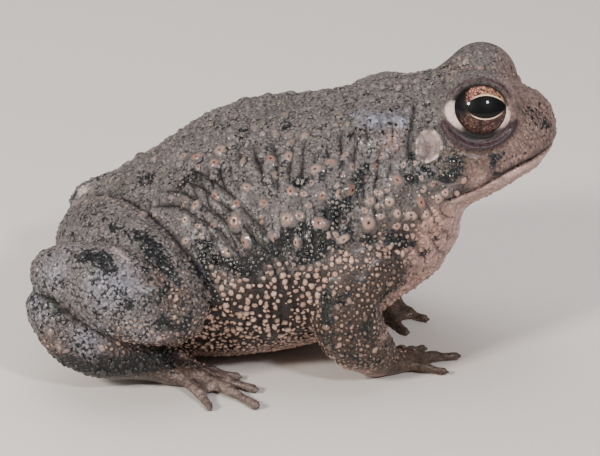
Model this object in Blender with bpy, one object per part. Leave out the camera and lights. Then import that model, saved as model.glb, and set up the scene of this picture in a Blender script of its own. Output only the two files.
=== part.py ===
"""A Texas toad, sitting with its legs folded, as a still life-size model.

Millimetres are used for every named size, and MM turns them into Blender's metres.
+X is forward, +Y the toad's left, +Z up. The floor is at Z = 0, under the middle of the animal.
Head and trunk are one lofted form, fused with the lids and lips and then parted by thin cuts.
The limbs are lofted too, and each is cut back from what it lies against, so that no two parts overlap.
"""

import math
import random

import bmesh
import bpy
import numpy as np
from mathutils import Matrix, Vector
from mathutils.bvhtree import BVHTree

MM = 0.001
GAP = 0.3
SIDES = {"right": -1.0, "left": 1.0}
UP = Vector((0.0, 0.0, 1.0))

# Cross-sections from the vent to the snout, each in the plane through its back point and its belly point:
# back x, back z, belly x, belly z, half width, height of the widest place (0 belly, 1 back), back and belly roundness
BODY_SECTIONS = (
    (-38.2, 18.8, -37.9, 13.4, 3.2, 0.50, 2.0, 2.0),
    (-36.9, 21.0, -36.5, 9.0, 8.4, 0.50, 2.0, 2.0),
    (-34.4, 23.7, -34.0, 4.6, 13.4, 0.46, 2.0, 2.0),
    (-30.0, 27.0, -29.5, 1.4, 18.4, 0.44, 2.0, 2.0),
    (-24.0, 30.7, -22.0, -0.3, 21.8, 0.43, 2.0, 2.1),
    (-16.0, 36.2, -13.0, -0.6, 23.8, 0.42, 2.0, 2.1),
    (-8.0, 39.4, -4.0, 0.4, 24.6, 0.43, 2.05, 2.1),
    (0.0, 40.2, 5.0, 2.4, 24.0, 0.44, 2.1, 2.0),
    (6.0, 41.5, 11.6, 5.2, 22.0, 0.44, 2.1, 1.9),
    (12.0, 43.4, 17.0, 8.9, 19.2, 0.44, 2.15, 1.8),
    (17.0, 44.3, 22.2, 12.9, 16.8, 0.43, 2.2, 1.75),
    (21.0, 44.8, 25.3, 18.1, 15.4, 0.41, 2.3, 1.5),
    (25.0, 44.9, 26.4, 22.9, 14.8, 0.37, 2.4, 1.35),
    (29.5, 44.7, 31.0, 26.4, 13.5, 0.31, 2.5, 1.45),
    (34.0, 43.7, 35.0, 28.9, 10.9, 0.28, 2.5, 1.5),
    (37.6, 41.9, 38.0, 31.0, 7.6, 0.28, 2.4, 1.7),
    (39.7, 39.6, 39.6, 33.2, 4.2, 0.34, 2.2, 2.0),
    (40.5, 37.6, 40.5, 35.6, 1.6, 0.50, 2.0, 2.0),
)
BODY_RINGS = 32
BODY_SEGMENTS = 30
# Where the rounded ends of limbs and digits have their rings, in degrees from the end's root
CAP_ANGLES = (32.0, 64.0)

# Where the trunk is parted: a point on the back (x, z) and how far the cut leans forward at the belly, in degrees
NECK_CUT = (14.5, 43.5, 19.7)
WAIST_CUT = (-2.0, 39.2, 9.0)
RUMP_CUT = (-21.0, 33.0, 3.0)

# The mouth line from its corner to the lips (x, z), and the foot of the cut behind the jaw
MOUTH_LINE = ((24.0, 29.5), (27.2, 30.3), (30.4, 32.0), (33.4, 33.4), (37.0, 34.4), (40.0, 35.0), (44.0, 35.4))
JAW_FOOT = ((46.0, 16.0), (29.5, 16.0))
LIP_RADIUS = 0.55

# Eyes: centre (x, out, z), ball radius, the lid's bulge over it, the opening between the lids
EYE_CENTRE = (28.5, 7.6, 42.2)
EYE_RADIUS = 5.2
LID_RADIUS = 6.0
EYE_GAZE = (0.02, 0.97, 0.19)
LID_OPENING = 4.35
LID_RIM_RADIUS = 0.5
LID_RIM_FROM_CENTRE = 3.75
# The cutter that opens the lids: how far it sits before the ball's surface, and its depth
LID_CUTTER = (1.0, 3.6)
# The brow and cheek that the bulge rises from: centre (x, out, z) and radii
BROW_CENTRE = (27.2, 7.0, 39.9)
BROW_RADII = (7.4, 6.1, 6.7)

# Oval pieces set in the skin: centre (x, out, z), half length, half height, half thickness, pitch in degrees
EARDRUM = ((20.9, 14.3, 37.6), 2.1, 2.7, 0.8, -15.0)
PAROTOID = ((13.2, 13.4, 39.8), 5.0, 3.1, 1.7, 12.0)
NOSTRIL = (38.6, 3.4, 41.3)
NOSTRIL_RADIUS = 0.55
NOSTRIL_DEPTH = 1.6
NOSTRIL_AXIS = (0.55, 0.75, 0.35)

# Limb paths as stations: x, out, z, half width, half height. The right leg is drawn up higher than the left.
UPPER_ARM = (
    (18.5, 9.0, 20.5, 5.0, 5.2),
    (15.0, 15.0, 20.0, 5.0, 5.2),
    (10.8, 19.0, 18.2, 4.8, 5.2),
    (8.2, 20.8, 15.4, 4.6, 5.2),
)
FOREARM = (
    (8.0, 20.8, 14.2, 5.0, 5.2),
    (8.8, 20.2, 10.8, 5.3, 5.4),
    (10.4, 18.8, 7.4, 5.0, 5.0),
    (12.4, 16.8, 4.4, 4.0, 3.8),
)
THIGH = {
    "right": (
        (-30.5, 7.0, 17.4, 8.2, 8.4),
        (-27.0, 14.0, 18.2, 8.2, 8.8),
        (-22.5, 20.0, 17.4, 7.2, 8.2),
        (-18.5, 23.8, 15.4, 6.0, 7.0),
    ),
    "left": (
        (-30.5, 6.0, 15.5, 8.0, 7.8),
        (-27.0, 13.0, 15.4, 7.8, 7.8),
        (-22.5, 19.0, 14.8, 6.8, 7.2),
        (-18.0, 23.4, 13.6, 5.8, 6.4),
    ),
}
SHANK = {
    "right": (
        (-18.2, 24.6, 14.2, 5.4, 6.0),
        (-22.5, 26.4, 16.0, 5.8, 6.7),
        (-28.0, 26.2, 18.0, 5.8, 6.7),
        (-33.0, 24.4, 18.8, 5.0, 5.5),
        (-35.6, 23.0, 18.2, 4.4, 4.8),
    ),
    "left": (
        (-17.8, 24.6, 12.8, 5.4, 5.6),
        (-22.0, 26.0, 13.8, 5.8, 5.9),
        (-28.0, 25.8, 14.6, 5.5, 5.6),
        (-33.0, 24.0, 14.4, 4.8, 4.8),
        (-36.7, 22.8, 13.8, 4.2, 4.2),
    ),
}
TARSUS = {
    "right": (
        (-36.0, 23.4, 13.2, 4.4, 5.0),
        (-33.5, 24.4, 9.6, 4.6, 5.2),
        (-28.5, 24.2, 7.2, 4.5, 5.0),
        (-22.5, 21.6, 4.8, 3.8, 3.8),
    ),
    "left": (
        (-36.8, 23.2, 10.2, 4.2, 4.6),
        (-33.0, 23.8, 7.6, 4.4, 4.7),
        (-28.5, 23.6, 6.0, 4.3, 4.4),
        (-22.5, 21.4, 4.6, 3.7, 3.6),
    ),
}
FOOT_SOLE = (
    (-22.0, 20.5, 3.0, 3.4, 2.6),
    (-19.0, 20.2, 2.0, 3.9, 2.0),
    (-16.0, 20.4, 1.4, 3.4, 1.6),
)
PALM = (
    (12.4, 15.8, 2.6, 3.2, 2.6),
    (15.0, 13.6, 1.8, 3.5, 2.0),
    (17.0, 12.2, 1.3, 3.0, 1.5),
)
# How far each hand is turned further inwards than the palm's own heading, in degrees
HAND_TURN = {"right": 0.0, "left": 42.0}
# Digits: root (x, out), heading in degrees outward from forward, length, radius at the root
TOES = (
    ((-18.4, 17.8), -16.0, 6.5, 1.05),
    ((-17.2, 18.8), 2.0, 9.5, 1.10),
    ((-16.2, 20.0), 20.0, 12.5, 1.15),
    ((-15.8, 21.4), 38.7, 15.6, 1.20),
    ((-17.0, 22.8), 58.0, 11.0, 1.10),
)
FINGERS = (
    ((14.6, 10.9), -98.0, 6.0, 1.15),
    ((17.0, 10.8), -58.0, 6.6, 1.15),
    ((18.4, 12.2), -28.0, 9.0, 1.15),
    ((17.6, 14.4), 4.0, 6.8, 1.10),
)
# A digit: its height over the floor at the root, its tip's share of the radius, the swelling at its joints,
# how high its axis lies over the floor as a share of the radius, and how far it bows sideways
FOOT_ARCH = 1.2
HAND_ARCH = 1.0
DIGIT_TIP_SHARE = 0.62
DIGIT_SWELLING = 0.09
DIGIT_AXIS_SHARE = 0.82
DIGIT_BOW = 0.05
DIGIT_SHORTENING = 0.08
DIGIT_STATIONS = 7
# Webs: how far along the digits they reach, how far behind the roots they start, thickness and height of their sole
WEB_SHARE = 0.34
WEB_BEHIND = 1.5
WEB_THICKNESS = 0.8
WEB_SOLE = 0.35
HEEL_KNOB = ((-20.2, 23.4, 3.2), (1.9, 0.95, 1.0))

# Warts: seed, how many are kept at most, and the range of their radius on the flank and on the back
WART_SEED = 7
WARTS_AT_MOST = 66
FLANK_WART = (1.0, 1.45)
BACK_WART = (0.8, 1.15)
WART_HEIGHT_SHARE = 0.55
WART_SIDES = 6
# A wart's side goes this deep into the skin, and its shoulder lies at these shares of its radius and height
WART_ROOT = 0.55
WART_SHOULDER = (0.62, 0.82)
# Draws, the stretch of trunk (x) and the turn from upright that they cover, the spacing in sums of two radii,
# the gap to limbs and to cuts, the lowest height, and how far a wart's skin may face down
WART_DRAWS = 6000
WART_STRETCH = (-34.0, 20.0)
WART_TURN = 2.2
WART_SPACING = 1.25
WART_LIMB_GAP = 0.7
WART_CUT_GAP = 0.4
WART_LOWEST = 9.0
WART_FACING = -0.45

COLOURS = {
    "skin": ((0.30, 0.26, 0.23), 0.55),
    "lip": ((0.62, 0.47, 0.38), 0.50),
    "eye": ((0.03, 0.02, 0.02), 0.08),
    "eardrum": ((0.50, 0.41, 0.31), 0.45),
    "gland": ((0.34, 0.28, 0.26), 0.40),
    "toe": ((0.42, 0.35, 0.27), 0.55),
}


def clear_scene():
    for obj in list(bpy.data.objects):
        bpy.data.objects.remove(obj, do_unlink=True)


def material(name):
    """A Principled material with the part's own colour and roughness."""
    found = bpy.data.materials.get(name)
    if found:
        return found
    colour, roughness = COLOURS[name]
    made = bpy.data.materials.new(name)
    made.use_nodes = True
    shader = made.node_tree.nodes["Principled BSDF"]
    shader.inputs["Base Color"].default_value = (*colour, 1.0)
    shader.inputs["Roughness"].default_value = roughness
    shader.inputs["Metallic"].default_value = 0.0
    return made


def outward(point, side):
    """A point given as (x, distance out from the middle, z), on one side of the toad."""
    return Vector((point[0], side * point[1], point[2]))


def smooth_rows(rows, count):
    """A Catmull-Rom curve through the rows, read at count places spread evenly over its spans."""
    rows = np.asarray(rows, float)
    padded = np.vstack([2 * rows[0] - rows[1], rows, 2 * rows[-1] - rows[-2]])
    place = np.linspace(0.0, len(rows) - 1.0, count)
    span = np.minimum(place.astype(int), len(rows) - 2)
    t = (place - span)[:, None]
    a, b, c, d = (padded[span + k] for k in range(4))
    return 0.5 * (2 * b + (c - a) * t + (2 * a - 5 * b + 4 * c - d) * t**2 + (3 * b - a - 3 * c + d) * t**3)


def object_from(name, points, faces):
    """A closed mesh object from points in millimetres, with its faces turned outwards."""
    mesh = bpy.data.meshes.new(name)
    mesh.from_pydata([Vector(p) * MM for p in points], [], faces)
    obj = bpy.data.objects.new(name, mesh)
    bpy.context.scene.collection.objects.link(obj)
    work = bmesh.new()
    work.from_mesh(mesh)
    bmesh.ops.recalc_face_normals(work, faces=work.faces)
    work.to_mesh(mesh)
    work.free()
    return obj


def loft(name, rings, first_tip, last_tip):
    """A closed skin over rings of as many points each, ending in a point at both ends."""
    count = len(rings[0])
    points = [tuple(first_tip)] + [tuple(p) for ring in rings for p in ring] + [tuple(last_tip)]
    faces = []
    for k in range(count):
        following = (k + 1) % count
        faces.append((0, 1 + k, 1 + following))
        for ring in range(len(rings) - 1):
            here = 1 + ring * count
            faces.append((here + k, here + count + k, here + count + following, here + following))
        last = 1 + (len(rings) - 1) * count
        faces.append((last + k, len(points) - 1, last + following))
    return object_from(name, points, faces)


def body_ring(row):
    """One cross-section of head or trunk: a superellipse whose upper and lower halves differ."""
    back = np.array((row[0], 0.0, row[1]))
    belly = np.array((row[2], 0.0, row[3]))
    half_width, widest, back_power, belly_power = row[4:8]
    points = []
    for k in range(BODY_SEGMENTS):
        angle = 2 * math.pi * k / BODY_SEGMENTS
        rise = math.cos(angle)
        side = math.sin(angle)
        power = back_power if rise >= 0 else belly_power
        reach = (1 - widest) if rise >= 0 else widest
        height = widest + math.copysign(abs(rise) ** (2 / power), rise) * reach
        out = math.copysign(abs(side) ** (2 / power), side) * half_width
        points.append(belly + (back - belly) * height + np.array((0.0, out, 0.0)))
    return points


def make_body():
    rows = smooth_rows(BODY_SECTIONS, BODY_RINGS)
    rings = [body_ring(row) for row in rows]
    vent = np.mean(rings[0], axis=0) + np.array((-0.5, 0.0, 0.0))
    snout = np.mean(rings[-1], axis=0) + np.array((0.1, 0.0, 0.0))
    return loft("body", rings, vent, snout)


def tube(name, stations, side, segments, rings):
    """A limb or digit with oval sections square to its path and rounded ends."""
    rows = smooth_rows(stations, rings)
    centres = rows[:, :3] * np.array((1.0, side, 1.0))
    radii = rows[:, 3:5]
    along = np.gradient(centres, axis=0)
    along /= np.linalg.norm(along, axis=1)[:, None]
    sections = [(centres[k], along[k], radii[k]) for k in range(rings)]
    for angle in CAP_ANGLES:
        lean = math.radians(angle)
        for end, way in ((0, -1.0), (rings - 1, 1.0)):
            reach = way * radii[end].mean() * math.sin(lean)
            section = (centres[end] + along[end] * reach, along[end], radii[end] * math.cos(lean))
            sections.insert(0 if end == 0 else len(sections), section)
    made = []
    for centre, direction, (half_width, half_height) in sections:
        across = np.cross(direction, (0.0, 0.0, 1.0))
        across /= np.linalg.norm(across)
        upward = np.cross(across, direction)
        turns = [2 * math.pi * k / segments for k in range(segments)]
        made.append([centre + across * half_width * math.cos(a) + upward * half_height * math.sin(a) for a in turns])
    tips = [centres[end] + along[end] * way * radii[end].mean() for end, way in ((0, -1.0), (-1, 1.0))]
    return loft(name, made, *tips)


def ball(name, centre, radii, turn=None, segments=20):
    """An ellipsoid about centre, in millimetres, turned by a rotation matrix."""
    work = bmesh.new()
    bmesh.ops.create_uvsphere(work, u_segments=segments, v_segments=segments // 2, radius=1.0)
    stretch = Matrix.Diagonal((*radii, 1.0))
    place = Matrix.Translation(Vector(centre)) @ (turn.to_4x4() if turn else Matrix.Identity(4)) @ stretch
    bmesh.ops.transform(work, matrix=Matrix.Scale(MM, 4) @ place, verts=work.verts)
    mesh = bpy.data.meshes.new(name)
    work.to_mesh(mesh)
    work.free()
    obj = bpy.data.objects.new(name, mesh)
    bpy.context.scene.collection.objects.link(obj)
    return obj


def frame_on(axis):
    """A rotation whose third column is axis and whose second column is as upright as it can be."""
    third = Vector(axis).normalized()
    first = UP.cross(third).normalized()
    return Matrix((first, third.cross(first), third)).transposed()


def ridge_ring(name, centre, turn, radius, minor, segments=18, sides=4):
    """A round ridge, such as a lid's rim, lying square to the third column of turn."""
    points = []
    for k in range(segments):
        sweep = 2 * math.pi * k / segments
        for j in range(sides):
            roll = 2 * math.pi * j / sides
            reach = radius + minor * math.cos(roll)
            local = Vector((reach * math.cos(sweep), reach * math.sin(sweep), minor * math.sin(roll)))
            points.append(Vector(centre) + turn @ local)
    faces = []
    for k in range(segments):
        for j in range(sides):
            a, b = k * sides, (k + 1) % segments * sides
            following = (j + 1) % sides
            faces.append((a + j, b + j, b + following, a + following))
    return object_from(name, points, faces)


def prism(name, outline, half_width):
    """A slab whose outline is given in the XZ plane, from -half_width to +half_width in Y."""
    count = len(outline)
    points = [(x, way * half_width, z) for way in (-1, 1) for x, z in outline]
    faces = [tuple(range(count)), tuple(range(2 * count - 1, count - 1, -1))]
    for k in range(count):
        following = (k + 1) % count
        faces.append((k, following, count + following, count + k))
    return object_from(name, points, faces)


def copy_of(obj, name, grown_by=0.0):
    """A copy whose surface is moved outwards, so that what it cuts keeps a gap to it."""
    mesh = obj.data.copy()
    made = bpy.data.objects.new(name, mesh)
    bpy.context.scene.collection.objects.link(made)
    if grown_by:
        normals = [vertex.normal.copy() for vertex in mesh.vertices]
        for vertex, normal in zip(mesh.vertices, normals):
            vertex.co += normal * grown_by * MM
    return made


def combine(obj, others, operation):
    """Joins the others to obj, or cuts obj by them or down to them, and removes them."""
    helpers = bpy.data.collections.new("helpers")
    bpy.context.scene.collection.children.link(helpers)
    for other in others:
        helpers.objects.link(other)
    modifier = obj.modifiers.new(operation.lower(), "BOOLEAN")
    modifier.operation = operation
    modifier.solver = "EXACT"
    modifier.operand_type = "COLLECTION"
    modifier.collection = helpers
    graph = bpy.context.evaluated_depsgraph_get()
    made = bpy.data.meshes.new_from_object(obj.evaluated_get(graph))
    obj.modifiers.clear()
    obj.data = made
    for other in others:
        bpy.data.objects.remove(other, do_unlink=True)
    bpy.data.collections.remove(helpers)
    keep_largest(obj)


def keep_largest(obj):
    """Drops every closed surface but the largest, and triangulates what stays."""
    work = bmesh.new()
    work.from_mesh(obj.data)
    bmesh.ops.triangulate(work, faces=work.faces)
    left = set(work.verts)
    groups = []
    while left:
        front = [left.pop()]
        group = set(front)
        while front:
            vertex = front.pop()
            for edge in vertex.link_edges:
                other = edge.other_vert(vertex)
                if other in left:
                    left.remove(other)
                    group.add(other)
                    front.append(other)
        groups.append(group)
    groups.sort(key=extent)
    loose = [vertex for group in groups[:-1] for vertex in group]
    bmesh.ops.delete(work, geom=loose, context="VERTS")
    work.to_mesh(obj.data)
    work.free()


def extent(group):
    """How far a group of vertices reaches, as the diagonal of its box."""
    corners = np.array([vertex.co for vertex in group])
    return float(np.linalg.norm(corners.max(0) - corners.min(0)))


def cut_plane(obj, cut, keep_front):
    """Cuts the trunk at one of the leaning planes, half a gap short of it, and closes the cut."""
    back_x, back_z, lean = cut
    forward = Vector((math.cos(math.radians(lean)), 0.0, math.sin(math.radians(lean))))
    way = 1.0 if keep_front else -1.0
    point = Vector((back_x, 0.0, back_z)) + forward * way * GAP / 2
    work = bmesh.new()
    work.from_mesh(obj.data)
    everything = work.verts[:] + work.edges[:] + work.faces[:]
    done = bmesh.ops.bisect_plane(
        work, geom=everything, plane_co=point * MM, plane_no=forward, clear_inner=keep_front, clear_outer=not keep_front
    )
    rim = [item for item in done["geom_cut"] if isinstance(item, bmesh.types.BMEdge)]
    bmesh.ops.holes_fill(work, edges=rim)
    bmesh.ops.triangulate(work, faces=work.faces)
    work.to_mesh(obj.data)
    work.free()


def tree_of(objects):
    """A search tree over the objects' faces, in metres."""
    work = bmesh.new()
    for obj in objects:
        work.from_mesh(obj.data)
    tree = BVHTree.FromBMesh(work)
    work.free()
    return tree


def lip_path(tree, side):
    """Stations along the upper lip of one side, on the skin just above the mouth line."""
    line = smooth_rows(MOUTH_LINE[:-1], 12)
    stations = []
    for x, z in line:
        start = Vector((x, side * 40.0, z + LIP_RADIUS)) * MM
        hit = tree.ray_cast(start, Vector((0.0, -side, 0.0)))[0]
        if hit is not None:
            stations.append((hit.x / MM, abs(hit.y / MM) - 0.1, hit.z / MM, LIP_RADIUS, LIP_RADIUS))
    return stations


def add_head_forms(body):
    """Fuses the brows, the lids' bulges, their rims and the upper lip to the head."""
    tree = tree_of([body])
    forms = []
    for name, side in SIDES.items():
        centre = outward(EYE_CENTRE, side)
        turn = frame_on(outward(EYE_GAZE, side))
        forms.append(ball("lid_" + name, centre, (LID_RADIUS,) * 3, turn, 16))
        forms.append(ball("brow_" + name, outward(BROW_CENTRE, side), BROW_RADII, None, 18))
        rim_centre = centre + turn.col[2] * LID_RIM_FROM_CENTRE
        rim_radius = LID_OPENING + LID_RIM_RADIUS / 2
        forms.append(ridge_ring("rim_" + name, rim_centre, turn, rim_radius, LID_RIM_RADIUS))
        forms.append(tube("lip_" + name, lip_path(tree, side), side, 6, 9))
    combine(body, forms, "UNION")


def cut_head_openings(body):
    """Cuts the eye sockets with their openings, the nostrils and the seats of the eardrums and glands."""
    cutters = []
    for name, side in SIDES.items():
        centre = outward(EYE_CENTRE, side)
        turn = frame_on(outward(EYE_GAZE, side))
        cutters.append(ball("socket_" + name, centre, (EYE_RADIUS + GAP,) * 3, turn, 18))
        opening_centre = centre + turn.col[2] * (EYE_RADIUS + LID_CUTTER[0])
        cutters.append(ball("opening_" + name, opening_centre, (LID_OPENING, LID_OPENING, LID_CUTTER[1]), turn, 18))
        nostril_turn = frame_on(outward(NOSTRIL_AXIS, side))
        nostril_radii = (NOSTRIL_RADIUS, NOSTRIL_RADIUS, NOSTRIL_DEPTH)
        cutters.append(ball("nostril_" + name, outward(NOSTRIL, side), nostril_radii, nostril_turn, 8))
    combine(body, cutters, "DIFFERENCE")


def oval_turn(tree, centre, pitch):
    """The centre moved onto the skin, and a rotation that lays an oval piece on it."""
    spot, normal = tree.find_nearest(centre * MM)[:2]
    turn = frame_on(normal) @ Matrix.Rotation(math.radians(pitch), 3, "Z")
    return spot / MM, turn


def make_ovals(tree):
    """The eardrums and the parotoid glands, as ovals half sunk in the skin."""
    made = {}
    for name, side in SIDES.items():
        for kind, (centre, half_length, half_height, half_thick, pitch) in (("eardrum", EARDRUM), ("parotoid", PAROTOID)):
            spot, turn = oval_turn(tree, outward(centre, side), -side * pitch)
            segments = 12 if kind == "eardrum" else 16
            made[f"{kind}_{name}"] = ball(f"{kind}_{name}", spot, (half_length, half_height, half_thick), turn, segments)
    return made


def digit(name, root, heading, length, radius, side, height):
    """A toe or finger that comes down to the floor, with a swelling at each joint and a blunt tip."""
    way = Vector((math.cos(math.radians(heading)), math.sin(math.radians(heading)), 0.0))
    stations = []
    for k in range(DIGIT_STATIONS):
        share = k / (DIGIT_STATIONS - 1)
        swelling = 1.0 + DIGIT_SWELLING * math.cos(share * 4 * math.pi)
        thick = radius * (1.0 - (1.0 - DIGIT_TIP_SHARE) * share) * swelling
        arch = height * (1 - share) ** 2 + thick * DIGIT_AXIS_SHARE
        bend = length * share * (1.0 - DIGIT_SHORTENING * share)
        place = Vector((root[0], root[1], 0.0)) + way * bend
        sideways = DIGIT_BOW * length * math.sin(share * math.pi)
        stations.append((place.x + way.y * sideways, place.y - way.x * sideways, arch, thick, thick))
    return tube(name, stations, side, 6, 6)


def web(name, first, second, side):
    """The skin between two neighbouring digits near their roots."""
    corners = []
    for root, heading, length, _ in (first, second):
        way = Vector((math.cos(math.radians(heading)), math.sin(math.radians(heading))))
        reach = Vector(root) + way * length * WEB_SHARE
        behind = Vector(root) - way * WEB_BEHIND
        corners += [(reach.x, side * reach.y), (behind.x, side * behind.y)]
    points = [(x, y, z) for x, y in corners for z in (WEB_SOLE, WEB_SOLE + WEB_THICKNESS)]
    work = bmesh.new()
    for point in points:
        work.verts.new(Vector(point) * MM)
    hull = bmesh.ops.convex_hull(work, input=work.verts)
    inner = [item for item in hull["geom_interior"] if isinstance(item, bmesh.types.BMVert)]
    bmesh.ops.delete(work, geom=inner, context="VERTS")
    mesh = bpy.data.meshes.new(name)
    work.to_mesh(mesh)
    work.free()
    obj = bpy.data.objects.new(name, mesh)
    bpy.context.scene.collection.objects.link(obj)
    return obj


def make_extremity(name, pad, digits, side, height, knob=None):
    """A hand or foot: its pad, digits, webs and knob as one body."""
    obj = tube(name, pad, side, 10, 5)
    parts = [digit(f"digit_{k}", *spec, side, height) for k, spec in enumerate(digits)]
    parts += [web(f"web_{k}", digits[k], digits[k + 1], side) for k in range(len(digits) - 1)]
    if knob:
        parts.append(ball("knob", outward(knob[0], side), knob[1], segments=8))
    combine(obj, parts, "UNION")
    return obj


def turn_inwards(obj, pivot, side, degrees):
    """Turns a hand about the upright line through its wrist."""
    wrist = Matrix.Translation(Vector((pivot[0], side * pivot[1], 0.0)) * MM)
    obj.data.transform(wrist @ Matrix.Rotation(math.radians(-side * degrees), 4, "Z") @ wrist.inverted())


def cut_floor(obj):
    """Cuts away what lies under the floor, which leaves small flats to stand on."""
    combine(obj, [prism("floor", ((-80, -20), (80, -20), (80, 0), (-80, 0)), 80)], "DIFFERENCE")


def make_limbs(body):
    """Both sides' limbs, each cut back from the trunk and from the limb parts that it lies on."""
    limbs = {}
    for name, side in SIDES.items():
        whole = {
            "thigh": tube("thigh_" + name, THIGH[name], side, 14, 8),
            "shank": tube("shank_" + name, SHANK[name], side, 14, 9),
            "tarsus": tube("tarsus_" + name, TARSUS[name], side, 12, 8),
            "foot": make_extremity("foot_" + name, FOOT_SOLE, TOES, side, FOOT_ARCH, HEEL_KNOB),
            "upper_arm": tube("upper_arm_" + name, UPPER_ARM, side, 12, 7),
            "forearm": tube("forearm_" + name, FOREARM, side, 12, 8),
            "hand": make_extremity("hand_" + name, PALM, FINGERS, side, HAND_ARCH),
        }
        lies_on = {
            "thigh": (),
            "shank": ("thigh",),
            "tarsus": ("thigh", "shank"),
            "foot": ("shank", "tarsus"),
            "upper_arm": (),
            "forearm": ("upper_arm",),
            "hand": ("forearm",),
        }
        turn_inwards(whole["hand"], PALM[0], side, HAND_TURN[name])
        pristine = {kind: copy_of(obj, "pristine_" + kind) for kind, obj in whole.items()}
        for kind, obj in whole.items():
            for under in lies_on[kind]:
                combine(obj, [copy_of(pristine[under], "cutter", GAP)], "DIFFERENCE")
            combine(obj, [copy_of(body, "cutter", GAP)], "DIFFERENCE")
            if kind in ("tarsus", "foot", "forearm", "hand"):
                cut_floor(obj)
            limbs[f"{kind}_{name}"] = obj
        for obj in pristine.values():
            bpy.data.objects.remove(obj, do_unlink=True)
    return limbs


def wart(name, spot, normal, radius, spin):
    """A low dome of few sides, with its root sunk into the skin."""
    turn = frame_on(normal)
    rise = radius * WART_HEIGHT_SHARE
    profile = ((radius, -WART_ROOT), (radius, 0.0), (radius * WART_SHOULDER[0], rise * WART_SHOULDER[1]))
    rings = []
    for reach, height in profile:
        turns = [spin + 2 * math.pi * k / WART_SIDES for k in range(WART_SIDES)]
        rings.append([spot + turn @ Vector((reach * math.cos(a), reach * math.sin(a), height)) for a in turns])
    return loft(name, rings, spot - turn.col[2] * (WART_ROOT + 0.05), spot + turn.col[2] * rise)


def wart_sites(tree, near_tree):
    """Places, normals and radii of the warts, spread over back and flanks and clear of limbs and seams."""
    draw = random.Random(WART_SEED)
    sites = []
    for _ in range(WART_DRAWS):
        along = draw.uniform(*WART_STRETCH)
        turn = draw.uniform(-WART_TURN, WART_TURN)
        size = draw.random()
        start = Vector((along, 0.0, 20.0 + 0.25 * along))
        way = Vector((0.0, math.sin(turn), math.cos(turn)))
        spot, normal = tree.ray_cast(start * MM, way)[:2]
        if spot is None:
            continue
        spot = spot / MM
        flank = min(1.0, max(0.0, (38.0 - spot.z) / 12.0))
        radius = np.interp(size, (0, 1), BACK_WART) * (1 - flank) + np.interp(size, (0, 1), FLANK_WART) * flank
        if spot.z < WART_LOWEST or normal.z < WART_FACING:
            continue
        if any((spot - other).length < WART_SPACING * (radius + far) for other, _, far in sites):
            continue
        if any(distance_to(cut, spot) < radius + WART_CUT_GAP for cut in (NECK_CUT, WAIST_CUT, RUMP_CUT)):
            continue
        if near_tree.find_nearest(spot * MM)[3] < (radius + WART_LIMB_GAP) * MM:
            continue
        sites.append((spot, normal, radius))
        if len(sites) == WARTS_AT_MOST:
            break
    return sites


def distance_to(cut, point):
    """How far a point is from one of the trunk's cuts."""
    lean = math.radians(cut[2])
    return abs((point.x - cut[0]) * math.cos(lean) + (point.z - cut[1]) * math.sin(lean))


def part_jaw(head):
    """Parts the lower jaw from the head along the mouth line, and returns it."""
    line = [tuple(p) for p in smooth_rows(MOUTH_LINE, 14)]
    jaw = copy_of(head, "lower_jaw")
    half = GAP / 2
    below = [(x, z - half) for x, z in line] + list(JAW_FOOT)
    above = [(x, z + half) for x, z in line] + list(JAW_FOOT)
    above[0] = (above[0][0] - GAP, above[0][1])
    above[-1] = (above[-1][0] - GAP, above[-1][1])
    combine(jaw, [prism("below", below, 40)], "INTERSECT")
    combine(head, [prism("above", above, 40)], "DIFFERENCE")
    return jaw


def part_body(body):
    """Parts head, jaw, chest, belly and rump by thin cuts."""
    parts = {"head": body}
    for name, front, rear in (
        ("chest", NECK_CUT, WAIST_CUT),
        ("belly", WAIST_CUT, RUMP_CUT),
        ("rump", RUMP_CUT, None),
    ):
        parts[name] = copy_of(body, name)
        cut_plane(parts[name], front, keep_front=False)
        if rear:
            cut_plane(parts[name], rear, keep_front=True)
    body.name = "head"
    cut_plane(body, NECK_CUT, keep_front=True)
    parts["lower_jaw"] = part_jaw(body)
    return parts


def finish(parts):
    """Gives every part its name, material and shading."""
    looks = {
        "lower_jaw": "lip",
        "eye": "eye",
        "eardrum": "eardrum",
        "parotoid": "gland",
        "foot": "toe",
        "hand": "toe",
    }
    for name, obj in parts.items():
        obj.name = name
        obj.data.name = name
        kind = name if name in looks else name.rsplit("_", 1)[0]
        obj.data.materials.clear()
        obj.data.materials.append(material(looks.get(kind, "skin")))
        obj.data.shade_smooth()
        obj.data.set_sharp_from_angle(angle=math.radians(50))


def main():
    clear_scene()
    body = make_body()
    plain_tree = tree_of([body])
    add_head_forms(body)
    ovals = make_ovals(plain_tree)
    limbs = make_limbs(body)
    near = tree_of([*limbs.values(), *ovals.values()])
    sites = wart_sites(plain_tree, near)
    warts = [wart(f"wart_{k}", *site, 0.7 * k) for k, site in enumerate(sites)]
    combine(body, warts, "UNION")
    cut_head_openings(body)
    combine(body, [copy_of(obj, "seat", GAP) for obj in ovals.values()], "DIFFERENCE")
    cut_floor(body)
    parts = part_body(body)
    parts.update(limbs)
    parts.update(ovals)
    for name, side in SIDES.items():
        turn = frame_on(outward(EYE_GAZE, side))
        parts["eye_" + name] = ball("eye_" + name, outward(EYE_CENTRE, side), (EYE_RADIUS,) * 3, turn, 18)
    finish(parts)


main()
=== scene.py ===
# %% [markdown]
# # A sitting Texas toad, life size
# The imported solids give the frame: every size below is in their millimetres, with +X forward,
# +Y the toad's left and the floor at Z = 0. Here the solids' flesh gets one living skin over it,
# with eyes, warts and granules as real shapes, so that the model holds up from every side.

# %% Load the frame
import itertools
import math

import bmesh
import bpy
import numpy as np
from mathutils import Matrix, Vector
from mathutils.bvhtree import BVHTree


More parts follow.
